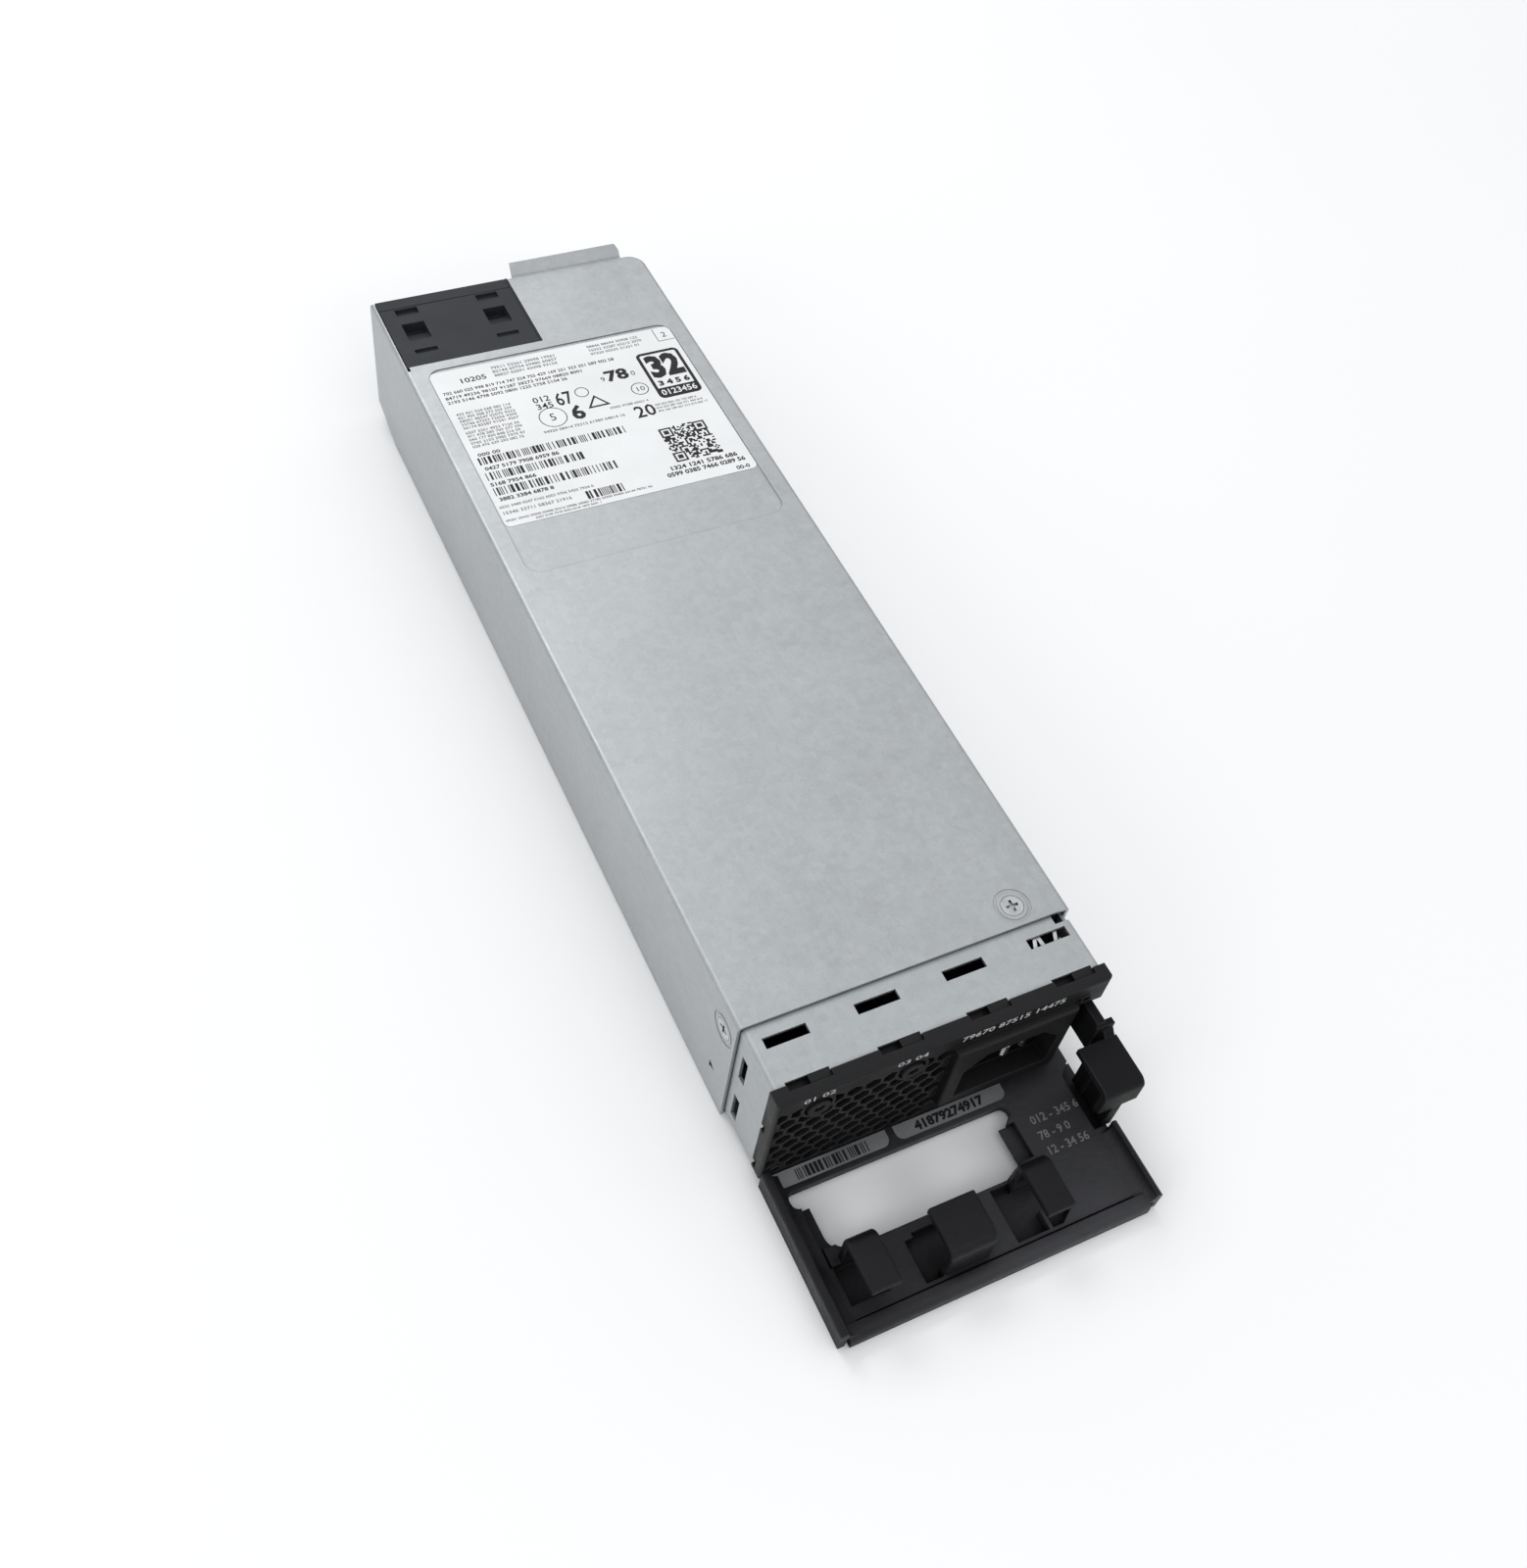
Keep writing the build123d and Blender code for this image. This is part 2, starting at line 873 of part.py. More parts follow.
def surround():
    """The raised frame around the power inlet."""
    front = bezel_front - surround_depth
    frame = block(surround_left, surround_right, front, bezel_front + 1, surround_bottom, surround_top)
    edges = [edge for edge in frame.edges() if abs(edge.center().Y - front) < 0.01]
    return fillet(edges, surround_radius)


def notch_pockets():
    """Pockets behind the collar's front notches, each with its snap tab."""
    cuts = []
    tabs = []
    front = collar_front - pocket_depth
    tab_back = collar_front + notch_depth - screw_clearance
    for x in slot_centres():
        right = x + slot_width / 2
        cuts.append(block(right - slot_width, right, front, collar_front + 1, bezel_top - pocket_drop, far))
        low = bezel_top - tab_drop
        high = collar_top - screw_clearance
        tabs.append(block(right - tab_width, right - screw_clearance, front + tab_start, tab_back, low, high))
    outer = -collar_half + screw_clearance
    inner = -collar_half + pocket_drop
    for z in side_slot_centres():
        half = side_slot_height / 2
        tabs.append(block(outer, inner, front, tab_back, z - half + screw_clearance, z + half / 2))
        cuts.append(block(-far, -bezel_half + pocket_drop, front, collar_front + 1, z - half, z + half))
    return cuts, tabs


def front_bezel():
    """Moulded front with grille, light wells, inlet frame and collar plug."""
    bezel = bezel_body() + surround()
    cuts, tabs = notch_pockets()
    for cut in cuts:
        bezel -= cut
    for tab in tabs:
        bezel += tab
    bezel -= prism_y(inlet_outline(0), bezel_front - far, bezel_front + bezel_wall + 1)
    bezel -= hex_holes()
    wall_back = bezel_front + bezel_wall
    for x, z in well_places():
        bezel += rod_y(well_radius + hex_web, x, bezel_front, wall_back, z)
        bezel -= rod_y(well_radius, x, bezel_front - 1, bezel_front + well_depth, z)
        bezel += rod_y(well_ring_radius, x, bezel_front - well_ring_reach, wall_back, z)
        bezel -= rod_y(lens_radius + lens_fit, x, bezel_front - 1, wall_back + 1, z)
    bezel += rod_y(blank_ring_radius, blank_x, bezel_front - blank_ring_reach, bezel_front + 1, blank_z)
    bezel -= rod_y(blank_radius, blank_x, bezel_front - 1, bezel_front + blank_depth, blank_z)
    corner_x = hex_right - (hex_columns - 1) * hex_pitch
    post_front = bezel_front - blank_ring_reach
    bezel += rod_y(grille_post_radius, corner_x, post_front, bezel_front + 1, hex_bottom)
    bezel -= rod_y(blank_radius, corner_x, bezel_front - 1, bezel_front + blank_depth, hex_bottom)
    latch_gap = block(
        latch_cut_x, far, bezel_front - 1, collar_front + skirt_length + 1, tray_floor_top - far, arm_top + latch_room
    )
    return bezel - latch_gap


def status_lenses():
    """Two clear light pipes seated in the wells."""
    front = bezel_front + lens_recess
    return group(rod_y(lens_radius, x, front, bezel_front + lens_length, z) for x, z in well_places())


# The power inlet

def inlet_housing():
    """Insulating socket body behind the bezel."""
    start = bezel_front + bezel_wall
    rear = inlet_back + inlet_back_wall
    body = prism_y(inlet_outline(inlet_wall), start, rear)
    body -= prism_y(inlet_outline(0), start - 1, inlet_back)
    for x, z, height, width, _ in pin_places():
        body -= block(x - width / 2, x + width / 2, start, rear + 1, z - height / 2, z + height / 2)
    return body


def pin_places():
    """Middle and size of the line, neutral and earth blades."""
    low = inlet_z - pin_offset
    high = inlet_z + pin_offset
    return [
        (inlet_x - pin_spacing / 2, low, pin_height, pin_width, 0),
        (inlet_x + pin_spacing / 2, low, pin_height, pin_width, 0),
        (inlet_x, high, pin_height, pin_width, earth_extra),
    ]


def inlet_pins():
    """Three flat blades held in the back wall of the socket."""
    rear = inlet_end
    blades = []
    for x, z, height, width, extra in pin_places():
        front = inlet_back - pin_length - extra
        blade = block(x - width / 2, x + width / 2, front, rear, z - height / 2, z + height / 2)
        tip = [edge for edge in blade.edges().filter_by(Axis.Z) if edge.center().Y < front + 0.1]
        blades.append(chamfer(tip, width / 4))
    return group(blades)


def inlet_links():
    """Three rigid copper links from the blades down to the board."""
    links = []
    start = inlet_end
    for number, (x, z, _, width, _) in enumerate(pin_places()):
        down = board_front + board_hole_setback + 1.5 * width * number
        link = block(x - width / 2, x + width / 2, start, down + width, z - width / 2, z + width / 2)
        link += block(x - width / 2, x + width / 2, down, down + width, board_top, z + width / 2)
        links.append(link)
    return group(links)


# The cord tray

def window_outline():
    """The hand hole, as (x, y) points in order."""
    return [
        (window_left, seam - window_back),
        (window_right, seam - window_back),
        (window_right, seam - window_nick_y + window_nick_slope),
        (window_right - window_nick_slope, seam - window_nick_y),
        (window_nick_x, seam - window_nick_y),
        (window_nick_x, seam - window_slope_y),
        (window_slope_x, seam - window_front),
        (window_step_x, seam - window_front),
        (window_step_x, seam - window_step_y),
        (window_left, seam - window_step_y),
    ]


def window_cutter():
    cutter = prism_z(window_outline(), -1, far)
    small = edges_near(cutter, Axis.Z, x=window_left)
    cutter = fillet(small, window_radius)
    cutter = fillet(edges_near(cutter, Axis.Z, x=window_right, y=seam - window_back), window_radius)
    curve = edges_near(cutter, Axis.Z, x=window_step_x, y=seam - window_front)
    return fillet(curve, window_curve_radius)


def window_ledges():
    """Lowered strips of floor along both ends of the hand hole."""
    low = ledge_top
    high = tray_floor_top + 1
    right = block(
        window_nick_x, window_nick_x + ledge_width, seam - window_slope_y, seam - window_nick_y, low, high
    )
    left = block(
        window_step_x - left_ledge_width,
        window_step_x + window_curve_radius,
        seam - window_front + left_ledge_gap,
        seam - window_step_y,
        low,
        high,
    )
    return [right, left]


def hook_places():
    """Middle, width and whether the hook is rooted at the back."""
    return [
        (hook_middle_x - hook_pitch, hook_narrow, True),
        (hook_middle_x, hook_wide, False),
        (hook_middle_x + hook_pitch, hook_narrow, True),
    ]


def hook_side_edges(solid, x):
    """The long outer edges of one end of a hook, above the floor."""
    found = []
    for edge in solid.edges():
        middle = edge.center()
        flat = abs(middle.X - x) < 0.01 and edge.bounding_box().size.X < 0.01
        if flat and middle.Z > hook_top - hook_radius:
            found.append(edge)
    return found


def cord_hook(x, width, rooted_back):
    """One bent-over hook, a wall with a plate that reaches over the cord."""
    if rooted_back:
        root = seam - hook_back
        free = seam - hook_front + hook_short_front
        inward = -1
    else:
        root = seam - hook_front
        free = seam - hook_back - hook_short_back
        inward = 1
    solid = block(x - width / 2, x + width / 2, min(root, free), max(root, free), tray_floor_bottom, hook_top)
    solid = fillet(edges_near(solid, Axis.X, y=root, z=hook_top), hook_radius)
    for side in (-1, 1):
        solid = fillet(hook_side_edges(solid, x + side * width / 2), hook_edge_radius)
    tip = [edge for edge in solid.edges() if abs(edge.center().Y - free) < 0.01 and edge.center().Z > hook_top - 1]
    solid = fillet(tip, hook_edge_radius / 2)
    wall = root + inward * hook_wall
    end = free + inward
    plate_bottom = hook_top - hook_plate
    gap = block(x - width, x + width, min(wall, end), max(wall, end), -1, plate_bottom)
    return solid - fillet(edges_near(gap, Axis.X, y=wall, z=plate_bottom), hook_inner_radius)


def pit_cutters():
    """The deep pits in the floor below and beside the hooks."""
    left_x = hook_middle_x - hook_pitch
    right_x = hook_middle_x + hook_pitch
    narrow = hook_narrow / 2
    wide = hook_wide / 2
    root = seam - hook_back - hook_wall
    front = seam - hook_front
    left_pit = [
        (left_x - narrow - left_pit_margin, root),
        (left_x + narrow, root),
        (left_x + narrow, front + hook_wall),
        (left_x - narrow - left_pit_margin, front + hook_wall),
    ]
    middle_pit = [
        (hook_middle_x - wide - middle_pit_margin, root - pit_corner / 2),
        (hook_middle_x - wide - middle_pit_margin / 2, root - pit_corner / 2),
        (hook_middle_x - wide - middle_pit_margin / 2, root),
        (hook_middle_x + wide, root),
        (hook_middle_x + wide, front + hook_wall),
        (hook_middle_x - wide, front + hook_wall),
        (hook_middle_x - wide, front),
        (hook_middle_x - wide - middle_pit_margin, front),
    ]
    right_end = right_x + narrow + right_pit_reach
    right_pit = [
        (right_x - narrow - right_pit_margin, seam - hook_back - right_pit_back_gap),
        (right_x - narrow, seam - hook_back - right_pit_back_gap),
        (right_x - narrow, root),
        (right_end, root),
        (right_end, front + pit_corner),
        (right_end - pit_corner - 1, front),
        (right_x - narrow - right_pit_margin, front),
    ]
    cuts = [prism_z(points, pan_thickness, tray_floor_top + 1) for points in (left_pit, middle_pit, right_pit)]
    half_rib = pit_rib_width / 2
    rib_end = front + pit_rib_length
    cuts[2] -= block(right_x - half_rib, right_x + half_rib, front - 1, rib_end, 0, tray_floor_top + 2)
    return cuts


def pit_pan():
    """The floor's thicker part that closes the pits below."""
    left = hook_middle_x - hook_pitch - hook_narrow / 2 - left_pit_margin - pan_wall
    right = hook_middle_x + hook_pitch + hook_narrow / 2 + right_pit_reach + pan_wall
    front = seam - hook_front - pan_wall
    rear = seam - hook_back
    return block(left, right, front, rear, 0, tray_floor_bottom)


def latch_recess():
    """The low place beside the floor that the latch's blade reaches into."""
    front = seam - recess_front
    rear = seam - recess_back
    return [
        (recess_x, front),
        (far, front),
        (far, rear + 2),
        (recess_x + recess_corner_x, rear + 1),
        (recess_x, rear - recess_corner_y),
    ]


def recess_pan():
    """The thin floor of the latch's recess."""
    front = seam - recess_front - pan_wall
    rear = seam - recess_back + 1
    return block(recess_x - pan_wall, tray_half, front, rear, 0, tray_floor_bottom)


def tray_side(side):
    """Raised side rim with a hollow round inside; the right one starts in front of the latch."""
    outer = side * tray_half
    inner = side * (tray_half - tray_rim_wall)
    start = bezel_front if side < 0 else seam - recess_front - rim_gap
    end = seam - tray_reach + rim_gap
    rim = block(min(outer, inner), max(outer, inner), end, start, 0, tray_rim_height)
    rim = fillet(edges_near(rim, Axis.Y, x=outer, z=tray_rim_height), tray_rim_round)
    foot = inner - side * tray_fillet
    low = tray_floor_top - joining
    round_start = start - rim_gap
    wedge = block(min(foot, inner), max(foot, inner), end, round_start, low, tray_floor_top + tray_fillet)
    return rim + (wedge - rod_y(tray_fillet, foot, end - 1, start, tray_floor_top + tray_fillet))


def tray_lip():
    """Rounded bar across the front of the tray."""
    half = tray_half - tray_rim_wall - rim_gap
    front = seam - tray_reach
    bar = block(-half, half, front, front + lip_depth, 0, lip_top)
    return fillet(edges_near(bar, Axis.X, y=front, z=lip_top), lip_round)


def cord_tray():
    """Floor, rims, lip and three hooks, moulded in one piece."""
    half = tray_half - tray_rim_wall
    lip_back = seam - tray_reach + lip_depth
    tray = block(-half, half, lip_back, bezel_front, tray_floor_bottom, tray_floor_top)
    tray += block(-half, half, bezel_front, collar_front, tray_floor_bottom, tray_floor_top)
    tray += pit_pan()
    tray += recess_pan()
    for side in (-1, 1):
        tray += tray_side(side)
    tray += tray_lip()
    for ledge in window_ledges():
        tray -= ledge
    tray -= window_cutter()
    for pit in pit_cutters():
        tray -= pit
    groove_half = half - groove_margin
    groove_floor = tray_floor_top - lip_groove_depth
    tray -= block(-groove_half, groove_half, lip_back, lip_back + lip_groove, groove_floor, far)
    slit_left = slit_x - slit_width / 2
    slit_front = seam - window_front - slit_overrun
    slit_back = seam - slit_start
    tray -= block(slit_left, slit_left + slit_width, slit_front, slit_back, tray_floor_top - 1, tray_floor_top + 1)
    for x, width, rooted_back in hook_places():
        tray += cord_hook(x, width, rooted_back)
    return tray - prism_z(latch_recess(), pan_thickness, tray_floor_top + 1)


# The release latch

def latch_pin():
    """Upright pin between the collar's top and bottom walls."""
    return rod_z(pivot_radius, pivot_x, seam + pivot_setback, collar_bottom, collar_top)


def release_latch():
    """Thumb lever: barrel, arm, blade with two ribs, and the pad."""
    pivot_y = seam + pivot_setback
    low = collar_bottom + sheet + skirt_fit
    high = collar_top - sheet - skirt_fit
    rear = seam - blade_back
    latch = rod_z(pivot_radius + pivot_fit + barrel_wall, pivot_x, pivot_y, low, high)
    latch += block(arm_inner_x, arm_outer_x, seam - arm_end, pivot_y, arm_bottom, arm_top)
    blade = [
        (rear, arm_bottom),
        (rear, arm_top - arm_shoulder),
        (seam - pad_back, pad_top),
        (seam - blade_front, pad_top),
        (seam - blade_front, blade_bottom),
        (rear - arm_shoulder, blade_bottom),
        (rear - arm_shoulder, arm_bottom - blade_heel),
    ]
    latch += prism_x(blade, blade_inner_x, blade_outer_x)
    latch += block(arm_inner_x, blade_outer_x, rear - web_thickness, rear, arm_bottom, arm_top - arm_shoulder)
    front = seam - pad_front
    pad = block(pad_left, half_width, front, seam - pad_back, pad_bottom, pad_top)
    pad = fillet(edges_near(pad, Axis.X, y=front, z=pad_top), pad_radius)
    inner_front = front + pad_wall
    inner_back = seam - pad_back + 1
    inner_high = pad_top - pad_wall
    latch += pad - block(pad_left - 1, blade_inner_x, inner_front, inner_back, pad_bottom - 1, inner_high)
    for number in range(rib_count):
        y = seam - rib_setback - rib_pitch * number
        start = y - rib_width / 2
        x = blade_inner_x - rib_reach
        latch += block(x, blade_inner_x, start, start + rib_width, blade_bottom + 1, pad_bottom)
    tooth = [
        (arm_outer_x - tooth_root, seam - tooth_front),
        (collar_half + tooth_reach, seam - tooth_front),
        (collar_half, seam - tooth_back),
        (arm_outer_x - tooth_root, seam - tooth_back),
    ]
    latch += prism_z(tooth, tooth_bottom, tooth_top)
    return latch - rod_z(pivot_radius + pivot_fit, pivot_x, pivot_y, 0, shell_height)


# The fan

def fan_frame():
    """Square housing with a round duct, corner holes and rear struts."""
    half = fan_size / 2
    rear = fan_front + fan_depth
    frame = block(fan_x - half, fan_x + half, fan_front, rear, fan_z - half, fan_z + half)
    frame = fillet(frame.edges().filter_by(Axis.Y), bend_radius * 2)
    frame -= rod_y(fan_duct_radius, fan_x, fan_front - 1, rear + 1, fan_z)
    reach = half - fan_hole_inset
    for side in (-1, 1):
        for level in (-1, 1):
            x = fan_x + side * reach
            frame -= rod_y(fan_hole_radius, x, fan_front - 1, rear + 1, fan_z + level * reach)
    strut_front = rear - strut_depth
    for number in range(strut_count):
        turn = 360 / strut_count * number + strut_turn
        strut = block(-strut_width / 2, strut_width / 2, strut_front, rear, 0, fan_duct_radius + fan_rim / 2)
        frame += Pos(fan_x, 0, fan_z) * Rot(0, turn, 0) * strut
    frame += rod_y(hub_radius, fan_x, strut_front, rear, fan_z)
    return frame + rod_y(fan_shaft_radius, fan_x, strut_front - fan_shaft_length, strut_front, fan_z)


def fan_blade():
    """One twisted blade, root to tip along +Z about the fan's axis."""
    root = hub_radius - blade_root_sink
    tip = fan_duct_radius - blade_tip_gap
    sections = []
    for radius, angle in ((root, blade_root_angle), (tip, blade_tip_angle)):
        plane = Plane(origin=(0, 0, radius), x_dir=(1, 0, 0), z_dir=(0, 0, 1))
        sections.append(plane * Rot(0, 0, angle) * Rectangle(blade_chord, blade_thickness))
    return loft(sections) & rod_y(tip, 0, -fan_depth, fan_depth, 0)


def fan_rotor():
    """Cup-shaped hub with twisted blades, on the frame's shaft."""
    rear = fan_front + fan_depth - strut_depth - hub_gap
    front = rear - hub_depth
    cup_front = front + hub_wall
    bore = fan_shaft_radius + fan_shaft_fit
    hub = rod_y(hub_radius, 0, front, rear, 0)
    hub = fillet([edge for edge in hub.edges() if abs(edge.center().Y - front) < 0.01], hub_edge_radius)
    blade = Pos(0, (front + rear) / 2, 0) * fan_blade()
    for number in range(blade_count):
        hub += Rot(0, 360 / blade_count * number, 0) * blade
    hub -= rod_y(hub_radius - hub_wall, 0, cup_front, rear + 1, 0)
    hub += rod_y(bore + hub_boss_wall, 0, cup_front - joining, rear, 0)
    hub -= rod_y(bore, 0, cup_front, rear + 1, 0)
    return Pos(fan_x, 0, fan_z) * hub


# The board and its parts

def board_holes():
    """Places of the board's screws."""
    half = board_half - board_hole_inset
    first = board_front + board_hole_setback
    middle = board_front + bulk_cap_setback + bulk_cap_radius + bulk_cap_gap / 2
    last = connector_front - board_hole_rear_gap
    return [(side * half, y) for y in (first, middle, last) for side in (-1, 1)]


def main_board():
    board = block(-board_half, board_half, board_front, back - board_end_gap, board_bottom, board_top)
    for x, y in board_holes():
        board -= rod_z(board_hole_radius, x, y, 0, shell_height)
    return board


def board_standoffs():
    pillars = []
    for x, y in board_holes():
        pillar = rod_z(standoff_radius, x, y, sheet, board_bottom)
        pillars.append(pillar - rod_z(standoff_bore, x, y, sheet + standoff_web, far))
    return group(pillars)


def board_screws():
    screws = []
    for x, y in board_holes():
        screw = rod_z(screw_head, x, y, board_top, board_top + screw_head_height)
        screw += rod_z(screw_shank, x, y, sheet + 2 * standoff_web, board_top)
        place = (x, y, board_top + screw_head_height)
        screws.append(screw - cross_recess(place, (0, 0, 1)))
    return group(screws)


def insulating_sheet():
    end = back - ramp_length - 1
    plate = block(-board_half, board_half, board_front, end, sheet, sheet + insulator)
    for x, y in board_holes():
        plate -= rod_z(standoff_radius + screw_clearance, x, y, 0, shell_height)
    return plate


def ring(outer, inner, height, x, y):
    return rod_z(outer, x, y, board_top, board_top + height) - rod_z(inner, x, y, 0, shell_height)


def choke_places():
    y = board_front + choke_setback
    return [(choke_right - wound_radius, y), (choke_left + wound_radius, y + choke_stagger)]


def choke_cores():
    cores = [ring(choke_outer, choke_inner, choke_height, x, y) for x, y in choke_places()]
    return group(Pos(0, 0, winding_grow) * core for core in cores)


def choke_windings():
    """Two wound arcs around each ring core."""
    coils = []
    high = choke_height + 2 * winding_grow
    for x, y in choke_places():
        shell = ring(choke_outer + winding_grow, choke_inner - winding_grow, high, x, y)
        core_room = ring(choke_outer, choke_inner, choke_height, x, y)
        shell -= Pos(0, 0, winding_grow) * core_room
        for side in (-1, 1):
            x0 = x + side * choke_split
            x1 = x + side * (choke_outer + 2 * winding_grow)
            half = shell & block(min(x0, x1), max(x0, x1), y - far, y + far, 0, far)
            coils += half.solids()
    return group(coils)


def film_capacitors():
    left = film_cap_x - film_cap_width / 2
    right = film_cap_x + film_cap_width / 2
    boxes = []
    for number in range(2):
        y = board_front + film_cap_setback + number * (film_cap_length + film_cap_gap)
        box = block(left, right, y, y + film_cap_length, board_top, board_top + film_cap_height)
        boxes.append(fillet(box.edges().filter_by(Axis.Z), film_cap_radius))
    return group(boxes)


def can(radius, height, x, y):
    """A round capacitor with a crimp groove near its foot."""
    body = rod_z(radius, x, y, board_top, board_top + height)
    low = board_top + crimp_height
    groove = rod_z(radius + 1, x, y, low, low + 2 * crimp_depth) - rod_z(radius - crimp_depth, x, y, 0, far)
    return body - groove


def bulk_capacitors():
    first = board_front + bulk_cap_setback
    pitch = 2 * bulk_cap_radius + bulk_cap_gap
    height = headroom - bulk_cap_headroom
    return group(can(bulk_cap_radius, height, bulk_cap_x, first + pitch * number) for number in range(2))


def output_capacitors():
    first = board_front + output_cap_setback
    cans = []
    for row in range(output_cap_rows):
        for column in range(output_cap_columns):
            x = output_cap_x + output_cap_pitch * column
            cans.append(can(output_cap_radius, output_cap_height, x, first + output_cap_pitch * row))
    return group(cans)


def finned_heatsink(x, y, length):
    """An upright plate on the board, with level fins on its right face."""
    top = board_top + heatsink_height
    fin_start = x + heatsink_plate
    sink = block(x, fin_start, y, y + length, board_top, top)
    for number in range(fin_count):
        z = top - fin_thickness - number * fin_gap
        sink += block(fin_start, fin_start + fin_reach, y, y + length, z, z + fin_thickness)
    return sink


def heatsink_places():
    """Left edge, front end and length of both heatsinks."""
    left_start = board_front + heatsink_left_setback
    caps_end = board_front + bulk_cap_setback + 3 * bulk_cap_radius + bulk_cap_gap
    right_start = caps_end + heatsink_right_gap
    right_length = connector_front - heatsink_rear_gap - right_start
    return [
        (heatsink_left_x, left_start, heatsink_left_length),
        (heatsink_right_x, right_start, right_length),
    ]


def heatsinks():
    return group(finned_heatsink(x, y, length) for x, y, length in heatsink_places())


def power_transistors():
    """Flat power packages clamped to the plain side of each heatsink."""
    packs = []
    for x, y, length in heatsink_places():
        pitch = transistor_width + transistor_spacing
        low = board_top + transistor_lift
        for number in range(int(length / pitch)):
            start = y + transistor_spacing / 2 + number * pitch
            pack = block(x - transistor_thickness, x, start, start + transistor_width, low, low + transistor_height)
            for lead in (-1, 0, 1):
                lead_x = x - transistor_thickness / 2
                lead_y = start + transistor_width / 2 + lead * lead_pitch
                half = lead_size / 2
                pack += block(lead_x - half, lead_x + half, lead_y - half, lead_y + half, board_top, low)
            packs.append(pack)
    return group(packs)


def transformer_core():
    """Ferrite core: two side walls, a centre leg and closed top and bottom."""
    left = transformer_x - core_width / 2
    right = transformer_x + core_width / 2
    front = transformer_y - core_length / 2
    top = board_top + core_height
    core = block(left, right, front, front + core_length, board_top, top)
    leg = core_leg / 2
    low = board_top + core_wall
    high = top - core_wall
    cut_front = front - 1
    cut_back = front + core_length + 1
    core -= block(left + core_wall, transformer_x - leg, cut_front, cut_back, low, high)
    return core - block(transformer_x + leg, right - core_wall, cut_front, cut_back, low, high)


def transformer_winding():
    """Taped winding around the centre leg, standing out at both ends."""
    x = transformer_x
    y = transformer_y
    half_w = core_width / 2 - core_wall - winding_gap
    half_l = core_length / 2 + winding_overhang
    low = board_top + core_wall + winding_gap
    high = board_top + core_height - core_wall - winding_gap
    coil = block(x - half_w, x + half_w, y - half_l, y + half_l, low, high)
    coil = fillet(coil.edges().filter_by(Axis.Z), 3 * bend_radius)
    leg = core_leg / 2 + winding_gap
    end = core_length / 2 + winding_gap
    return coil - block(x - leg, x + leg, y - end, y + end, 0, far)


def control_card():
    """Upright card along the right edge of the board."""
    x = board_half - card_inset
    end = connector_front - card_rear_gap
    top = board_top + headroom - card_headroom
    return block(x, x + card_thickness, end - card_length, end, board_top, top)


# The rear connector

def socket_places():
    """Left to right middle of each socket."""
    first = (connector_left + connector_right) / 2 - socket_pitch * (socket_count - 1) / 2
    return [first + socket_pitch * number for number in range(socket_count)]


def corings():
    """Setback and length of each wedge-shaped hollow in a column on the connector's top."""
    return [
        (rear_coring_setback, rear_coring_length),
        (middle_coring_setback, middle_coring_length),
        (front_coring_setback, front_coring_length),
    ]


def output_connector():
    """Moulded housing with upright sockets at the rear and core-outs on top."""
    body = block(connector_left, connector_right, connector_front, back, board_top, connector_top)
    heel_top = board_top + connector_heel
    body -= block(connector_left - 1, connector_right + 1, back - board_end_gap, back + 1, 0, heel_top)
    socket_top = connector_top - socket_drop
    for x in socket_places():
        half = socket_width / 2
        body -= block(x - half, x + half, back - socket_depth, back + 1, socket_bottom, socket_top)
    over = connector_top + joining
    for x in (connector_left + coring_left_inset, connector_right - coring_right_inset):
        for setback, length in corings():
            rear = back - setback
            points = [(rear, over), (rear, connector_top - coring_slope * length), (rear - length, over)]
            body -= prism_x(points, x - coring_width / 2, x + coring_width / 2)
    step = back - step_setback
    body -= block(connector_left - 1, connector_right + 1, step - step_width, step, connector_top - step_depth, far)
    for x in (connector_left + nub_left_inset, connector_right - nub_right_inset):
        high = connector_top - nub_drop
        nub = rod_z(nub_radius, x, connector_front, high - nub_height, high)
        body += nub & block(-far, far, connector_front - connector_fit + joining / 2, back, 0, far)
    return body


def output_contacts():
    """Sprung copper blades inside the sockets."""
    front = back - socket_depth
    rear = back - contact_setback
    blades = []
    for x in socket_places():
        left = x - socket_width / 2
        blades.append(block(left, left + contact_thickness, front, rear, socket_bottom, connector_top - socket_drop))
    return group(blades)


def main():
    os.makedirs("parts", exist_ok=True)
    pieces = {
        "top_cover": top_cover,
        "base_tray": base_tray,
        "rear_panel": rear_panel,
        "front_collar": front_collar,
        "cover_screws": cover_screws,
        "front_bezel": front_bezel,
        "status_lenses": status_lenses,
        "inlet_housing": inlet_housing,
        "inlet_pins": inlet_pins,
        "inlet_links": inlet_links,
        "cord_tray": cord_tray,
        "latch_pin": latch_pin,
        "release_latch": release_latch,
        "fan_frame": fan_frame,
        "fan_rotor": fan_rotor,
        "main_board": main_board,
        "board_standoffs": board_standoffs,
        "board_screws": board_screws,
        "insulating_sheet": insulating_sheet,
        "choke_cores": choke_cores,
        "choke_windings": choke_windings,
        "film_capacitors": film_capacitors,
        "bulk_capacitors": bulk_capacitors,
        "output_capacitors": output_capacitors,
        "heatsinks": heatsinks,
        "power_transistors": power_transistors,
        "transformer_core": transformer_core,
        "transformer_winding": transformer_winding,
        "control_card": control_card,
        "output_connector": output_connector,
        "output_contacts": output_contacts,
    }
    for name, make in pieces.items():
        save(name, make())


main()
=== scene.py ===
import math
import random

import bmesh
import bpy
from mathutils import Matrix, Vector


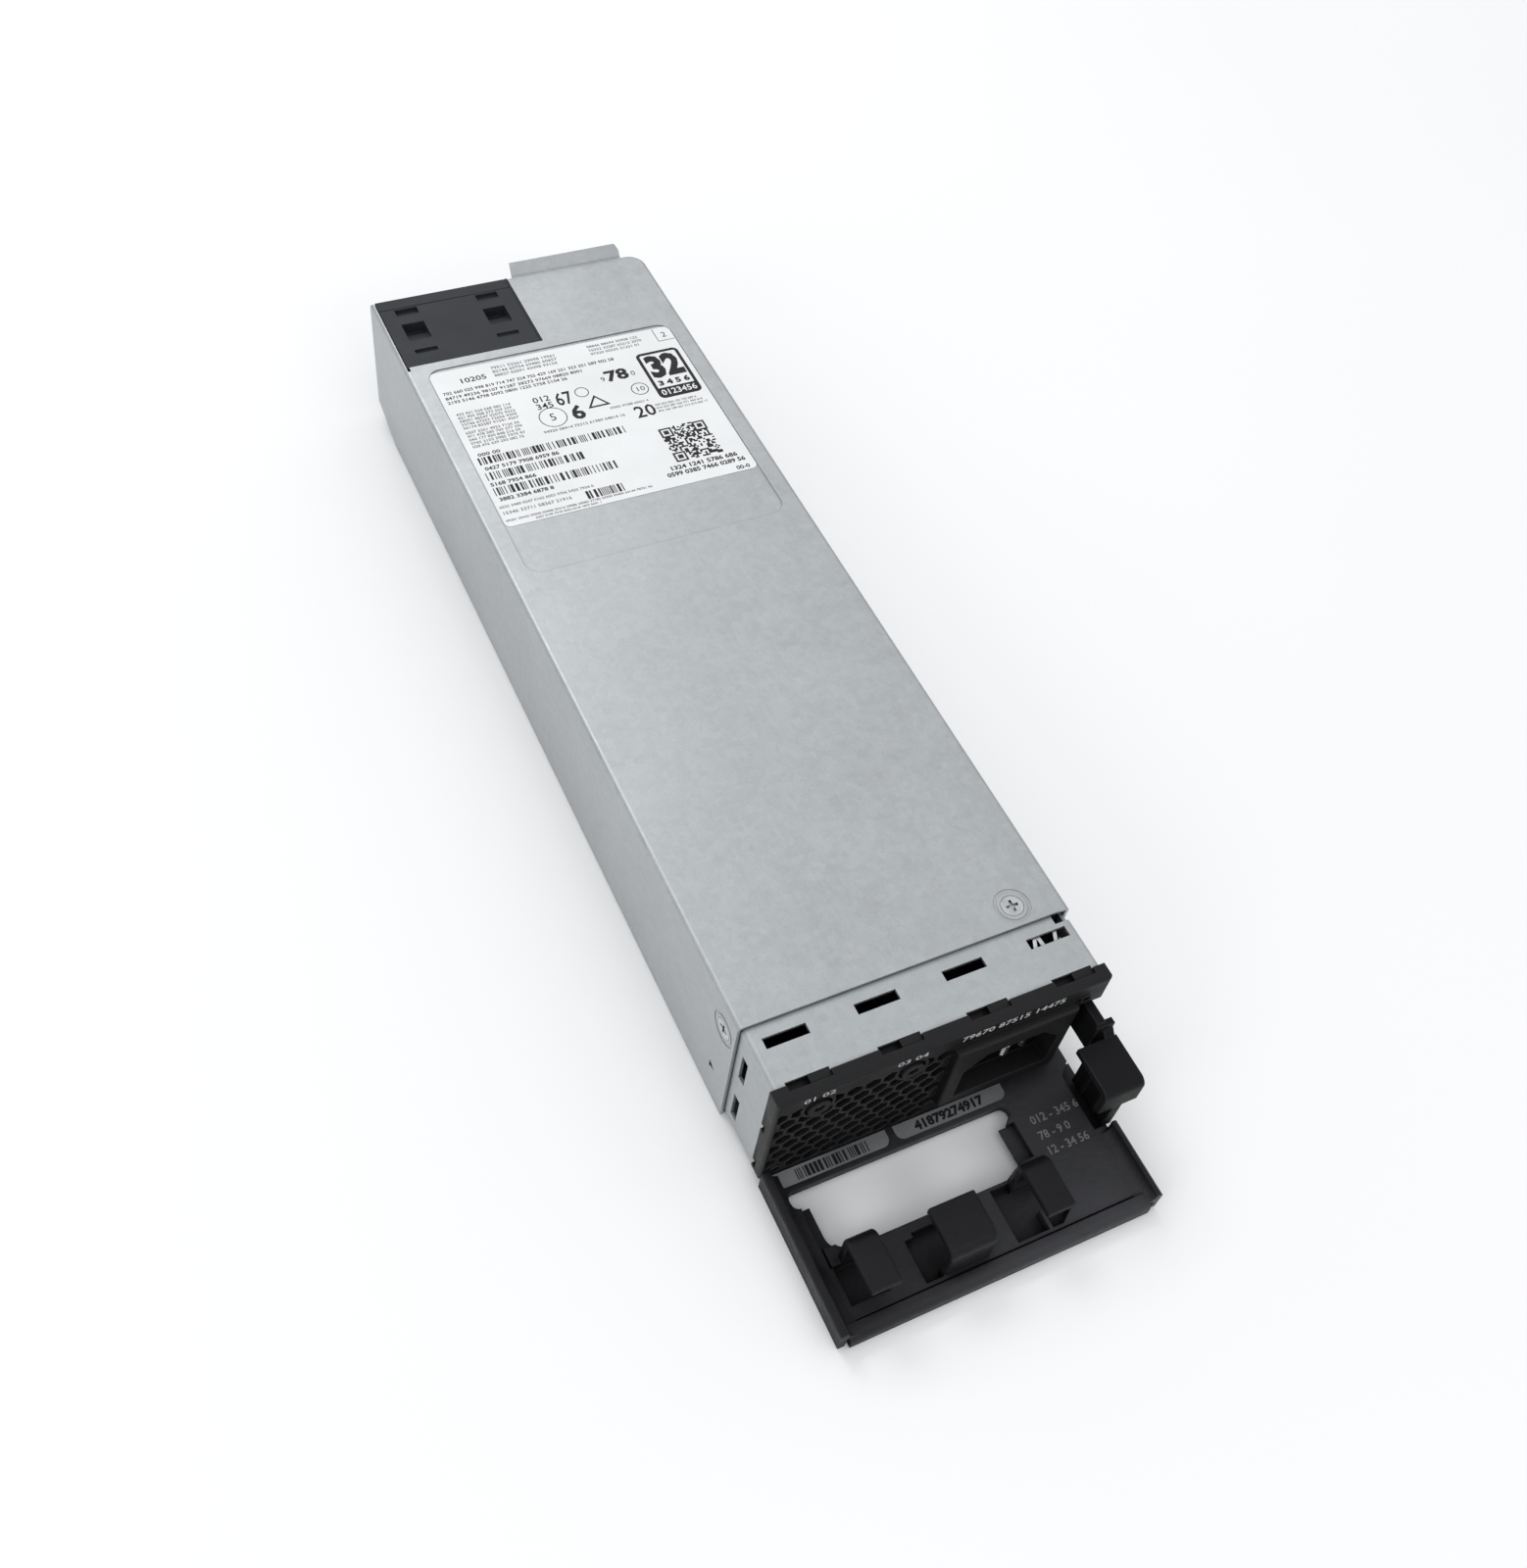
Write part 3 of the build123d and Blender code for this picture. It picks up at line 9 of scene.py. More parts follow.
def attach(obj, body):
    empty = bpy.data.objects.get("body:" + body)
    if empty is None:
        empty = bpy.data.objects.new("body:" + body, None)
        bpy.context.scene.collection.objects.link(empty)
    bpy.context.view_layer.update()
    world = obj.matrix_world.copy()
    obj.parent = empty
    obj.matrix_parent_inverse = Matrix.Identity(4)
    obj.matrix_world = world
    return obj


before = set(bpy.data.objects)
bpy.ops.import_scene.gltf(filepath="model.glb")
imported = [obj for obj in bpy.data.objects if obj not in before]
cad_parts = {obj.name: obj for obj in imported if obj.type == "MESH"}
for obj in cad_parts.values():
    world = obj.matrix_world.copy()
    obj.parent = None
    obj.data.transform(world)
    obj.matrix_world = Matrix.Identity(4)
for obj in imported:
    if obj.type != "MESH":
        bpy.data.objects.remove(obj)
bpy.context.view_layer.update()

# Places in metres, in the part's frame
MM = 0.001
SEAM = -0.12415  # between main shell and collar; places along the part are counted from here
SHELL_TOP = 0.0401
FIELD_DEPTH = 0.0003
FIELD = SHELL_TOP - FIELD_DEPTH  # the pressed field that holds the label
TRAY_FLOOR = 0.004
BEZEL_FACE = SEAM - 0.019
SPRING_FOOT = (0.0, SEAM - 0.0054, 0.0372)
SPRING_RISE = 0.22  # climb of the contact springs for each unit to the rear
FLOOR_LIGHT_HEIGHT = (0.0043, 0.0075)  # the tray floor's painted light is full at the first height, gone at the second
FLOOR_LIGHT_REACH = (-0.036, 0.012)  # and thin left of the first place, full right of the second

# Heights over a page's seat, in millimetres
SHEET_FOOT = 0.005
LABEL_TOP = 0.10
STRIP_TOP = 0.12
TRIANGLE_INK = 0.113
BAND_INK = 0.114
INK = 0.115
WHITE_INK = 0.13
STRIP_INK = 0.135
BARE_INK = 0.02  # print straight on the moulding

# Flat print
CORNER_STEPS = 6
RING_STEPS = 28
CAPITAL_SHARE = 0.7  # height of a capital as a share of the font's size
DIGIT_PITCH = 0.86  # width of one digit as a share of its height
LABEL = (-35.8, 152.6, 35.8, 214.5)  # left, front, right and rear edge, in millimetres

# Shading
NOISE_LOW, NOISE_HIGH = 0.3, 0.7  # the span most of a noise lies in
EDGE_DOT = (0.8, 0.995)  # full edge and no edge, as the rounded normal times the flat one
OPEN_SHARE = (0.25, 0.9)  # a closed and an open place, as the share of light that reaches it
METAL_RADIUS = 0.0002
BEVEL_SAMPLES = 6
CREVICE_SAMPLES = 8
MIX_FACTOR, MIX_A, MIX_B, MIX_RESULT = 0, 6, 7, 2  # sockets of the colour mix node

# Stage, light and camera
FLOOR_HALF = 12
FLOOR_HEIGHT = -0.0003  # a hair under the part, so that the two don't share a plane
FILL_COLOR = (0.97, 0.985, 1.0, 1.0)
FILL_SPAN = (-0.2, 1.0)  # heights on the sky between which the fill light grows
FILL_STRENGTH = (0.42, 1.0)
SEEN_STRENGTH = 0.86  # what the camera sees as background
SENSOR = 36.0
FOCAL_PIXELS = 1681.0
PHOTO_HEIGHT = 1600.0
CAMERA_PLACE = (-0.1374618, -0.1350949 + SEAM, 0.3428119)
CAMERA_RIGHT = (0.8973970, -0.4266245, 0.1125622)
CAMERA_DOWN = (-0.2832791, -0.7526816, -0.5943260)
CAMERA_AHEAD = (0.3382775, 0.5014598, -0.7963080)


def toned(color, factor, lift=0.0):
    return tuple(min(1.0, c * factor + lift) for c in color)


def placed(axes, place):
    """A matrix with the three axes as its columns, moved to a place."""
    matrix = Matrix.Identity(4)
    for column, axis in enumerate(axes):
        for row in range(3):
            matrix[row][column] = axis[row]
    matrix.translation = place
    return matrix


# Materials

class Shader:
    """A small helper around one material's node tree."""

    def __init__(self, name):
        self.material = bpy.data.materials.new(name)
        self.material.use_nodes = True
        self.tree = self.material.node_tree
        self.bsdf = self.tree.nodes["Principled BSDF"]
        self.coords = self.add("ShaderNodeTexCoord").outputs["Object"]

    def add(self, kind, **settings):
        node = self.tree.nodes.new(kind)
        for key, value in settings.items():
            setattr(node, key, value)
        return node

    def link(self, source, target):
        self.tree.links.new(source, target)

    def feed(self, socket, value):
        """Give a socket a number, a colour, or what another node puts out."""
        if isinstance(value, (int, float)):
            socket.default_value = value
        elif isinstance(value, tuple):
            socket.default_value = (*value, 1.0)
        else:
            self.link(value, socket)

    def scaled(self, scale):
        node = self.add("ShaderNodeMapping")
        node.inputs["Scale"].default_value = scale
        self.link(self.coords, node.inputs["Vector"])
        return node.outputs["Vector"]

    def noise(self, scale, detail=4.0, rough=0.55, stretch=None):
        node = self.add("ShaderNodeTexNoise")
        node.inputs["Scale"].default_value = scale
        node.inputs["Detail"].default_value = detail
        node.inputs["Roughness"].default_value = rough
        self.link(self.scaled(stretch) if stretch else self.coords, node.inputs["Vector"])
        return node.outputs["Fac"]

    def cells(self, scale):
        node = self.add("ShaderNodeTexVoronoi", feature="F1")
        node.inputs["Scale"].default_value = scale
        self.link(self.coords, node.inputs["Vector"])
        return node

    def ranged(self, value, low, high, to_low, to_high):
        node = self.add("ShaderNodeMapRange")
        self.link(value, node.inputs["Value"])
        node.inputs["From Min"].default_value = low
        node.inputs["From Max"].default_value = high
        node.inputs["To Min"].default_value = to_low
        node.inputs["To Max"].default_value = to_high
        return node.outputs["Result"]

    def vary(self, noise, to_low, to_high):
        """Spread a noise over two values."""
        return self.ranged(noise, NOISE_LOW, NOISE_HIGH, to_low, to_high)

    def mask(self, value, low, high):
        """Nought at the low level, one at the high one."""
        return self.ranged(value, low, high, 0.0, 1.0)

    def math(self, operation, a, b):
        node = self.add("ShaderNodeMath", operation=operation)
        self.feed(node.inputs[0], a)
        self.feed(node.inputs[1], b)
        return node.outputs["Value"]

    def plus(self, a, b):
        return self.math("ADD", a, b)

    def times(self, a, b):
        return self.math("MULTIPLY", a, b)

    def mixed(self, factor, a, b):
        node = self.add("ShaderNodeMix", data_type="RGBA", blend_type="MIX")
        self.feed(node.inputs[MIX_FACTOR], factor)
        self.feed(node.inputs[MIX_A], a)
        self.feed(node.inputs[MIX_B], b)
        return node.outputs[MIX_RESULT]

    def rounded(self, radius):
        """A normal that rounds each sharp edge, and a mask that is bright on those edges."""
        bevel = self.add("ShaderNodeBevel", samples=BEVEL_SAMPLES)
        bevel.inputs["Radius"].default_value = radius
        plain = self.add("ShaderNodeNewGeometry").outputs["Normal"]
        dot = self.add("ShaderNodeVectorMath", operation="DOT_PRODUCT")
        self.link(bevel.outputs["Normal"], dot.inputs[0])
        self.link(plain, dot.inputs[1])
        edge = self.ranged(dot.outputs["Value"], *EDGE_DOT, 1.0, 0.0)
        return bevel.outputs["Normal"], edge

    def crevice(self, distance, most):
        """How far a place lies in a narrow gap or corner, from nought to the given most."""
        node = self.add("ShaderNodeAmbientOcclusion", samples=CREVICE_SAMPLES)
        node.inputs["Distance"].default_value = distance
        return self.ranged(node.outputs["AO"], *OPEN_SHARE, most, 0.0)

    def bump(self, heights, depth, strength, normal=None):
        node = self.add("ShaderNodeBump")
        node.inputs["Strength"].default_value = strength
        node.inputs["Distance"].default_value = depth
        self.link(heights, node.inputs["Height"])
        if normal is not None:
            self.link(normal, node.inputs["Normal"])
        return node.outputs["Normal"]

    def done(self, color, rough, normal=None, metallic=0.0, extra=None):
        self.feed(self.bsdf.inputs["Base Color"], color)
        self.feed(self.bsdf.inputs["Roughness"], rough)
        if normal is not None:
            self.link(normal, self.bsdf.inputs["Normal"])
        self.bsdf.inputs["Metallic"].default_value = metallic
        for name, value in (extra or {}).items():
            self.bsdf.inputs[name].default_value = value
        return self.material


def galvanised(name, base, grain=1.0, edge_light=0.5):
    """Dull zinc-coated sheet: soft mottling, fine grain, faint rolling lines and scratches."""
    s = Shader(name)
    cloud = s.noise(26.0, detail=3.0)
    mottle = s.noise(260.0, detail=5.0, rough=0.65)
    fine = s.noise(2600.0, detail=3.0, rough=0.6)
    flakes = s.cells(620.0).outputs["Color"]
    flake = s.add("ShaderNodeSeparateColor")
    s.link(flakes, flake.inputs["Color"])
    rolling = s.noise(1.0, detail=5.0, rough=0.6, stretch=(900.0, 14.0, 900.0))
    scratch = s.noise(1.0, detail=6.0, rough=0.75, stretch=(1900.0, 60.0, 700.0))
    scratch = s.mask(scratch, 0.70, 0.76)
    tone = s.plus(s.vary(cloud, -0.07, 0.07), s.vary(mottle, -0.08 * grain, 0.08 * grain))
    tone = s.plus(tone, s.ranged(flake.outputs["Red"], 0.0, 1.0, -0.06 * grain, 0.06 * grain))
    tone = s.plus(tone, s.ranged(rolling, 0.35, 0.65, -0.02, 0.02))
    tone = s.plus(tone, s.vary(fine, -0.09 * grain, 0.09 * grain))
    light = toned(base, 1.28)
    color = s.mixed(s.plus(tone, 0.5), toned(base, 0.72), light)
    rounding, edge = s.rounded(METAL_RADIUS)
    # Painted highlight: edges and bends painted lighter, as strong as edge_light
    highlit_edges = s.times(edge, s.ranged(mottle, 0.35, 0.65, 0.3, 1.0))
    color = s.mixed(s.times(highlit_edges, edge_light), color, toned(base, 1.6))
    color = s.mixed(s.times(scratch, 0.25), color, light)
    # Painted shade: gaps, slots and seams painted darker by how closed in they are
    color = s.mixed(s.crevice(distance=0.0012, most=0.85), color, toned(base, 0.1))
    rough = s.plus(s.vary(mottle, 0.42, 0.56), s.times(scratch, -0.1))
    heights = s.plus(s.times(fine, 0.5), s.times(mottle, 0.5))
    heights = s.plus(heights, s.times(scratch, -0.35))
    normal = s.bump(heights, depth=0.00006, strength=0.35 * grain, normal=rounding)
    return s.done(color, rough, normal, metallic=0.82)


def moulded(
    name, base, dust_and_highlight, rough=(0.42, 0.6), texture=0.5, scale=1700.0, edge_highlight=0.6,
    radius=0.0004, sheen=0.5, depth=0.00007, shade=0.0, floor_light=None,
):
    """Black moulded plastic: spark-eroded skin, rounded edges painted lighter as a highlight, a
    little dusty scuffing.

    shade is how far the painted shade in a hollow reaches; the last argument is painted light on
    the tray's low floor.
    """
    s = Shader(name)
    skin = s.noise(scale, detail=4.0, rough=0.62)
    broad = s.noise(90.0, detail=4.0, rough=0.6)
    specks = s.cells(scale * 0.42).outputs["Distance"]
    scuff = s.noise(1.0, detail=5.0, rough=0.7, stretch=(420.0, 60.0, 420.0))
    scuff = s.mask(scuff, 0.62, 0.74)
    rounding, edge = s.rounded(radius)
    color = s.mixed(s.mask(broad, 0.35, 0.7), base, toned(base, 1.35))
    color = s.mixed(s.times(s.mask(skin, 0.45, 0.75), 0.25), color, toned(base, 1.8))
    # Painted highlight: rounded edges painted in the pale tone that the scuffs also use
    highlit_edges = s.times(s.times(edge, s.vary(broad, 0.3, 1.0)), edge_highlight)
    color = s.mixed(highlit_edges, color, dust_and_highlight)
    color = s.mixed(s.times(scuff, 0.12), color, dust_and_highlight)
    roughness = s.plus(s.vary(broad, *rough), s.times(scuff, 0.06))
    if floor_light:
        # Painted light on the low floor only, fading out to the left
        place = s.add("ShaderNodeSeparateXYZ")
        s.link(s.coords, place.inputs["Vector"])
        low = s.ranged(place.outputs["Z"], *FLOOR_LIGHT_HEIGHT, 1.0, 0.0)
        lit_floor = s.times(low, s.ranged(place.outputs["X"], *FLOOR_LIGHT_REACH, 0.12, 1.0))
        color = s.mixed(s.times(lit_floor, s.vary(broad, 0.75, 1.0)), color, floor_light)
    if shade:
        # Painted shade: hollows and corners painted darker, out to the shade distance
        hollow = s.crevice(distance=shade, most=1.0)
        color = s.mixed(s.times(hollow, 0.95), color, toned(base, 0.12))
        roughness = s.math("MAXIMUM", roughness, hollow)
    heights = s.plus(s.times(skin, 0.6), s.times(specks, 0.5))
    normal = s.bump(heights, depth=depth, strength=texture, normal=rounding)
    return s.done(color, roughness, normal, extra={"Specular IOR Level": sheen})


def plated(name, base, rough):
    """Bright plated metal with fine scratches and darker stains."""
    s = Shader(name)
    stain = s.noise(340.0, detail=5.0, rough=0.6)
    fine = s.noise(2700.0, detail=3.0, rough=0.6)
    lines = s.noise(1.0, detail=4.0, rough=0.6, stretch=(4000.0, 4000.0, 500.0))
    rounding, edge = s.rounded(METAL_RADIUS)
    color = s.mixed(s.mask(stain, 0.35, 0.7), base, toned(base, 0.72))
    # Painted highlight: sharp edges painted lighter
    color = s.mixed(s.times(edge, 0.5), color, toned(base, 1.3))
    # Painted shade: recesses such as a screw's cross painted darker
    color = s.mixed(s.crevice(distance=0.0009, most=0.9), color, toned(base, 0.06))
    roughness = s.plus(s.vary(stain, *rough), s.vary(fine, -0.04, 0.04))
    heights = s.plus(s.times(fine, 0.5), s.times(lines, 0.5))
    normal = s.bump(heights, depth=0.00003, strength=0.3, normal=rounding)
    return s.done(color, roughness, normal, metallic=1.0)


def coated(name, base, second, rough=(0.3, 0.5), coat=0.0):
    """A painted, moulded or wound surface with two tones, fine grain and soft edges."""
    s = Shader(name)
    broad = s.noise(140.0, detail=4.0, rough=0.6)
    fine = s.noise(2100.0, detail=4.0, rough=0.6)
    rounding, edge = s.rounded(0.0003)
    color = s.mixed(s.mask(broad, 0.35, 0.65), base, second)
    # Painted highlight: edges painted lighter
    color = s.mixed(s.times(edge, 0.35), color, toned(base, 1.5, 0.02))
    normal = s.bump(fine, depth=0.00005, strength=0.3, normal=rounding)
    return s.done(color, s.vary(fine, *rough), normal, extra={"Coat Weight": coat})


def wound(name, base, dark, turns):
    """Turns of enamelled wire, as close lines with painted shade between the turns."""
    s = Shader(name)
    wave = s.add("ShaderNodeTexWave", wave_type="BANDS", bands_direction="DIAGONAL")
    wave.inputs["Scale"].default_value = turns
    wave.inputs["Distortion"].default_value = 1.5
    s.link(s.coords, wave.inputs["Vector"])
    broad = s.noise(300.0, detail=4.0, rough=0.6)
    # Painted shade: the dark colour lies in the grooves between the turns
    color = s.mixed(s.mask(wave.outputs["Fac"], 0.2, 0.8), dark, base)
    color = s.mixed(s.times(s.mask(broad, 0.4, 0.7), 0.3), color, toned(base, 0.6))
    normal = s.bump(wave.outputs["Fac"], depth=0.0003, strength=0.6)
    return s.done(color, s.vary(broad, 0.25, 0.4), normal, extra={"Coat Weight": 0.4})


def paper(name, base, grey, rough=(0.38, 0.5)):
    """Smooth coated label stock with a little unevenness."""
    s = Shader(name)
    broad = s.noise(60.0, detail=4.0, rough=0.55)
    fine = s.noise(2400.0, detail=4.0, rough=0.6)
    color = s.mixed(s.mask(broad, 0.35, 0.7), base, grey)
    color = s.mixed(s.times(s.mask(fine, 0.4, 0.7), 0.12), color, toned(grey, 0.85))
    return s.done(color, s.vary(fine, *rough), s.bump(fine, depth=0.00003, strength=0.2))


def ink(name, base, faded):
    """Printed ink that is slightly broken up."""
    s = Shader(name)
    fine = s.noise(5200.0, detail=4.0, rough=0.7)
    broad = s.noise(420.0, detail=3.0, rough=0.6)
    color = s.mixed(s.times(s.mask(fine, 0.35, 0.75), s.vary(broad, 0.3, 1.0)), base, faded)
    normal = s.bump(fine, depth=0.00002, strength=0.2)
    return s.done(color, s.vary(fine, 0.5, 0.7), normal, extra={"Specular IOR Level": 0.2})


def clear(name, tint):
    """Milky clear light pipe."""
    s = Shader(name)
    fine = s.noise(2000.0, detail=4.0, rough=0.6)
    broad = s.noise(500.0, detail=3.0, rough=0.6)
    color = s.mixed(s.mask(broad, 0.35, 0.7), tint, toned(tint, 0.8))
    normal = s.bump(fine, depth=0.00004, strength=0.25)
    extra = {"Transmission Weight": 0.35, "IOR": 1.49, "Coat Weight": 0.3}
    return s.done(color, s.vary(fine, 0.15, 0.3), normal, extra=extra)


BLACK = (0.0050, 0.0051, 0.0058)
# Pale tones for dusty scuffs, and for the painted highlight on rounded edges
DUST_AND_HIGHLIGHT = (0.050, 0.050, 0.054)
DEEP_BLACK = (0.004, 0.004, 0.0045)
# Also for dusty scuffs and the painted edge highlight
DEEP_DUST_AND_HIGHLIGHT = (0.03, 0.03, 0.033)
BOARD_GREEN = (0.02, 0.10, 0.045)
BOARD_LIGHT = (0.03, 0.14, 0.06)

steel = galvanised("zinc_sheet", (0.430, 0.447, 0.457))
collar_steel = galvanised("collar_sheet", (0.43, 0.45, 0.458), grain=0.9, edge_light=0.6)
screw_metal = plated("screw_zinc", (0.62, 0.63, 0.64), (0.25, 0.42))
bright_metal = plated("nickel", (0.74, 0.72, 0.68), (0.12, 0.25))
copper_metal = plated("bare_copper", (0.72, 0.40, 0.24), (0.2, 0.38))
spring_metal = plated("spring_steel", (0.68, 0.69, 0.70), (0.12, 0.25))
bezel_black = moulded(
    "bezel_black", BLACK, DUST_AND_HIGHLIGHT,
    texture=0.6, scale=1100.0, sheen=0.24, depth=0.00012, shade=0.002,
)
tray_black = moulded(
    "tray_black", (0.0088, 0.0089, 0.0102), (0.065, 0.065, 0.070), rough=(0.34, 0.50),
    texture=1.0, scale=900.0, edge_highlight=0.8, radius=0.0006, sheen=0.13, depth=0.00022,
    shade=0.007, floor_light=(0.046, 0.046, 0.051),
)
latch_black = moulded(
    "latch_black", BLACK, DUST_AND_HIGHLIGHT, texture=0.6, edge_highlight=0.8, radius=0.0006, sheen=0.13, shade=0.003,
)
connector_black = moulded(
    "connector_black", (0.0150, 0.0165, 0.0200), (0.10, 0.10, 0.11),
    rough=(0.5, 0.66), texture=0.3, sheen=0.32,
)
socket_black = moulded(
    "socket_black", DEEP_BLACK, DEEP_DUST_AND_HIGHLIGHT, rough=(0.35, 0.5), texture=0.2, sheen=0.25,
)
fan_black = moulded(
    "fan_black", DEEP_BLACK, DEEP_DUST_AND_HIGHLIGHT, rough=(0.4, 0.5), texture=0.2, sheen=0.15,
)
film_black = moulded(
    "film_black", (0.03, 0.03, 0.033), (0.1, 0.1, 0.1), rough=(0.25, 0.4), texture=0.1,
)

cad_looks = {
    "top_cover": steel,
    "base_tray": steel,
    "rear_panel": steel,
    "front_collar": collar_steel,
    "cover_screws": screw_metal,
    "front_bezel": bezel_black,
    "status_lenses": clear("light_pipe", (0.30, 0.32, 0.30)),
    "inlet_housing": socket_black,
    "inlet_pins": bright_metal,
    "inlet_links": copper_metal,
    "cord_tray": tray_black,
    "latch_pin": screw_metal,
    "release_latch": latch_black,
    "fan_frame": fan_black,
    "fan_rotor": fan_black,
    "main_board": coated("solder_mask", BOARD_GREEN, BOARD_LIGHT, coat=0.5),
    "board_standoffs": screw_metal,
    "board_screws": screw_metal,
    "insulating_sheet": film_black,
    "choke_cores": coated("powder_core", (0.10, 0.16, 0.12), (0.08, 0.12, 0.10)),
    "choke_windings": wound("wire_turns", (0.52, 0.22, 0.08), (0.12, 0.04, 0.02), 420.0),
    "film_capacitors": coated("film_box", (0.62, 0.46, 0.12), (0.50, 0.36, 0.09), coat=0.2),
    "bulk_capacitors": coated(
        "can_sleeve", (0.012, 0.018, 0.045), (0.02, 0.028, 0.06), coat=0.5,
    ),
    "output_capacitors": coated(
        "small_can_sleeve", (0.02, 0.02, 0.03), (0.03, 0.03, 0.045), coat=0.4,
    ),
    "heatsinks": plated("extruded_fins", (0.56, 0.57, 0.58), (0.35, 0.5)),
    "power_transistors": moulded(
        "epoxy_body", (0.02, 0.02, 0.021), (0.08, 0.08, 0.08), texture=0.3,
    ),
    "transformer_core": coated(
        "ferrite_core", (0.05, 0.05, 0.054), (0.075, 0.075, 0.08), rough=(0.6, 0.8),
    ),
    "transformer_winding": coated(
        "yellow_tape", (0.62, 0.48, 0.10), (0.50, 0.38, 0.08), coat=0.3,
    ),
    "control_card": coated("card_mask", BOARD_GREEN, BOARD_LIGHT, coat=0.5),
    "output_connector": connector_black,
    "output_contacts": copper_metal,
}
for name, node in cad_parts.items():
    node.data.materials.clear()
    node.data.materials.append(cad_looks[name])


# Printed and flat pieces

def new_piece(name, mesh_maker, material, body="housing"):
    mesh = bpy.data.meshes.new(name)
    bm = bmesh.new()
    mesh_maker(bm)
    bm.normal_update()
    bm.to_mesh(mesh)
    bm.free()
    piece = bpy.data.objects.new(name, mesh)
    bpy.context.scene.collection.objects.link(piece)
    mesh.materials.append(material)
    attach(piece, body)


class Sheet:
    """Maps flat millimetre places to space: right along u, up the page along v, out along n."""

    def __init__(self, origin, u, v):
        self.origin = Vector(origin)
        self.u = Vector(u).normalized()
        self.v = Vector(v).normalized()
        self.n = self.u.cross(self.v)

    def at(self, x, y, lift=0.0):
        return self.origin + (self.u * x + self.v * y + self.n * lift) * MM

    def loop(self, bm, points, lift):
        return [bm.verts.new(self.at(x, y, lift)) for x, y in points]

    def polygon(self, bm, points, lift):
        bm.faces.new(self.loop(bm, points, lift))

    def rect(self, bm, x0, y0, x1, y1, lift):
        self.polygon(bm, [(x0, y0), (x1, y0), (x1, y1), (x0, y1)], lift)

    def outline(self, x0, y0, x1, y1, radius, corners=(1, 1, 1, 1)):
        """A rounded box. Corner order: lower left, lower right, upper right, upper left."""
        points = []
        places = [(x0, y0, 180), (x1, y0, 270), (x1, y1, 0), (x0, y1, 90)]
        signs = [(1, 1), (-1, 1), (-1, -1), (1, -1)]
        for (x, y, start), (sx, sy), use in zip(places, signs, corners):
            r = radius * use
            if r <= 0:
                points.append((x, y))
                continue
            for k in range(CORNER_STEPS + 1):
                a = math.radians(start + 90 * k / CORNER_STEPS)
                points.append((x + sx * r + r * math.cos(a), y + sy * r + r * math.sin(a)))
        return points

    def plate(self, bm, points, low, high):
        """A flat plate with sides, from one height to another."""
        top = self.loop(bm, points, high)
        base = self.loop(bm, points, low)
        bm.faces.new(top)
        bm.faces.new(list(reversed(base)))
        for k in range(len(points)):
            j = (k + 1) % len(points)
            bm.faces.new([base[k], base[j], top[j], top[k]])

    def band(self, bm, outer, inner, lift):
        """The flat strip between two outlines of as many points."""
        a = self.loop(bm, outer, lift)
        b = self.loop(bm, inner, lift)
        for k in range(len(a)):
            j = (k + 1) % len(a)
            bm.faces.new([a[k], a[j], b[j], b[k]])

    def ring(self, bm, x, y, outer, inner, lift):
        turns = [2 * math.pi * k / RING_STEPS for k in range(RING_STEPS)]
        circles = [
            [(x + r * math.cos(a), y + r * math.sin(a)) for a in turns] for r in (outer, inner)
        ]
        self.band(bm, *circles, lift)

    def frame(self, bm, x0, y0, x1, y1, radius, line, lift):
        outer = self.outline(x0, y0, x1, y1, radius)
        inner_radius = max(radius - line, 0.05)
        inner = self.outline(x0 + line, y0 + line, x1 - line, y1 - line, inner_radius)
        self.band(bm, outer, inner, lift)

    def bars(self, bm, x0, x1, y0, y1, seed, unit, lift):
        """Upright bars of uneven width, made from a seeded pattern."""
        pick = random.Random(seed)
        x = x0
        while x < x1 - unit:
            width = unit * pick.choice((1, 1, 1, 2, 3))
            self.rect(bm, x, y0, min(x + width, x1), y1, lift)
            x += width + unit * pick.choice((1, 1, 2, 3))

    def text(self, bm, words, x, y, size, lift, width=None, bold=0.0):
        """Words that start at x on the base line y, squeezed or spread to a given width."""
        curve = bpy.data.curves.new("words", "FONT")
        curve.body = words
        curve.size = size / CAPITAL_SHARE
        curve.offset = bold
        curve.resolution_u = 2
        holder = bpy.data.objects.new("words", curve)
        bpy.context.scene.collection.objects.link(holder)
        bpy.context.view_layer.update()
        graph = bpy.context.evaluated_depsgraph_get()
        mesh = bpy.data.meshes.new_from_object(holder.evaluated_get(graph))
        spread = width / max(v.co.x for v in mesh.vertices) if width else 1.0
        along = [c * MM * spread for c in self.u]
        up, out = [c * MM for c in self.v], [c * MM for c in self.n]
        mesh.transform(placed((along, up, out), self.at(x, y, lift)))
        bm.from_mesh(mesh)
        bpy.data.meshes.remove(mesh)
        bpy.data.objects.remove(holder)
        bpy.data.curves.remove(curve)


def digits(seed, count, group=4):
    pick = random.Random(seed)
    text = "".join(str(pick.randrange(10)) for _ in range(count))
    return " ".join(text[k:k + group] for k in range(0, count, group))


# The label's page: x to the right from the middle of the shell, y to the rear from the seam
page = Sheet((0.0, SEAM, FIELD), (1, 0, 0), (0, 1, 0))


def label_base(bm):
    page.plate(bm, page.outline(*LABEL, 1.6), SHEET_FOOT, LABEL_TOP)


def fine_rows(bm, seed, x0, x1, top, pitch, rows, size, ragged=0.0):
    """Rows of small numbers whose right ends fall short by as much as ragged."""
    pick = random.Random(seed)
    for row in range(rows):
        end = x1 - ragged * pick.random()
        count = max(6, int((end - x0) / (size * DIGIT_PITCH)))
        words = digits(seed * 31 + row, count, pick.choice((3, 4, 5)))
        page.text(bm, words, x0, top - pitch * row, size, INK, end - x0, 0.03)


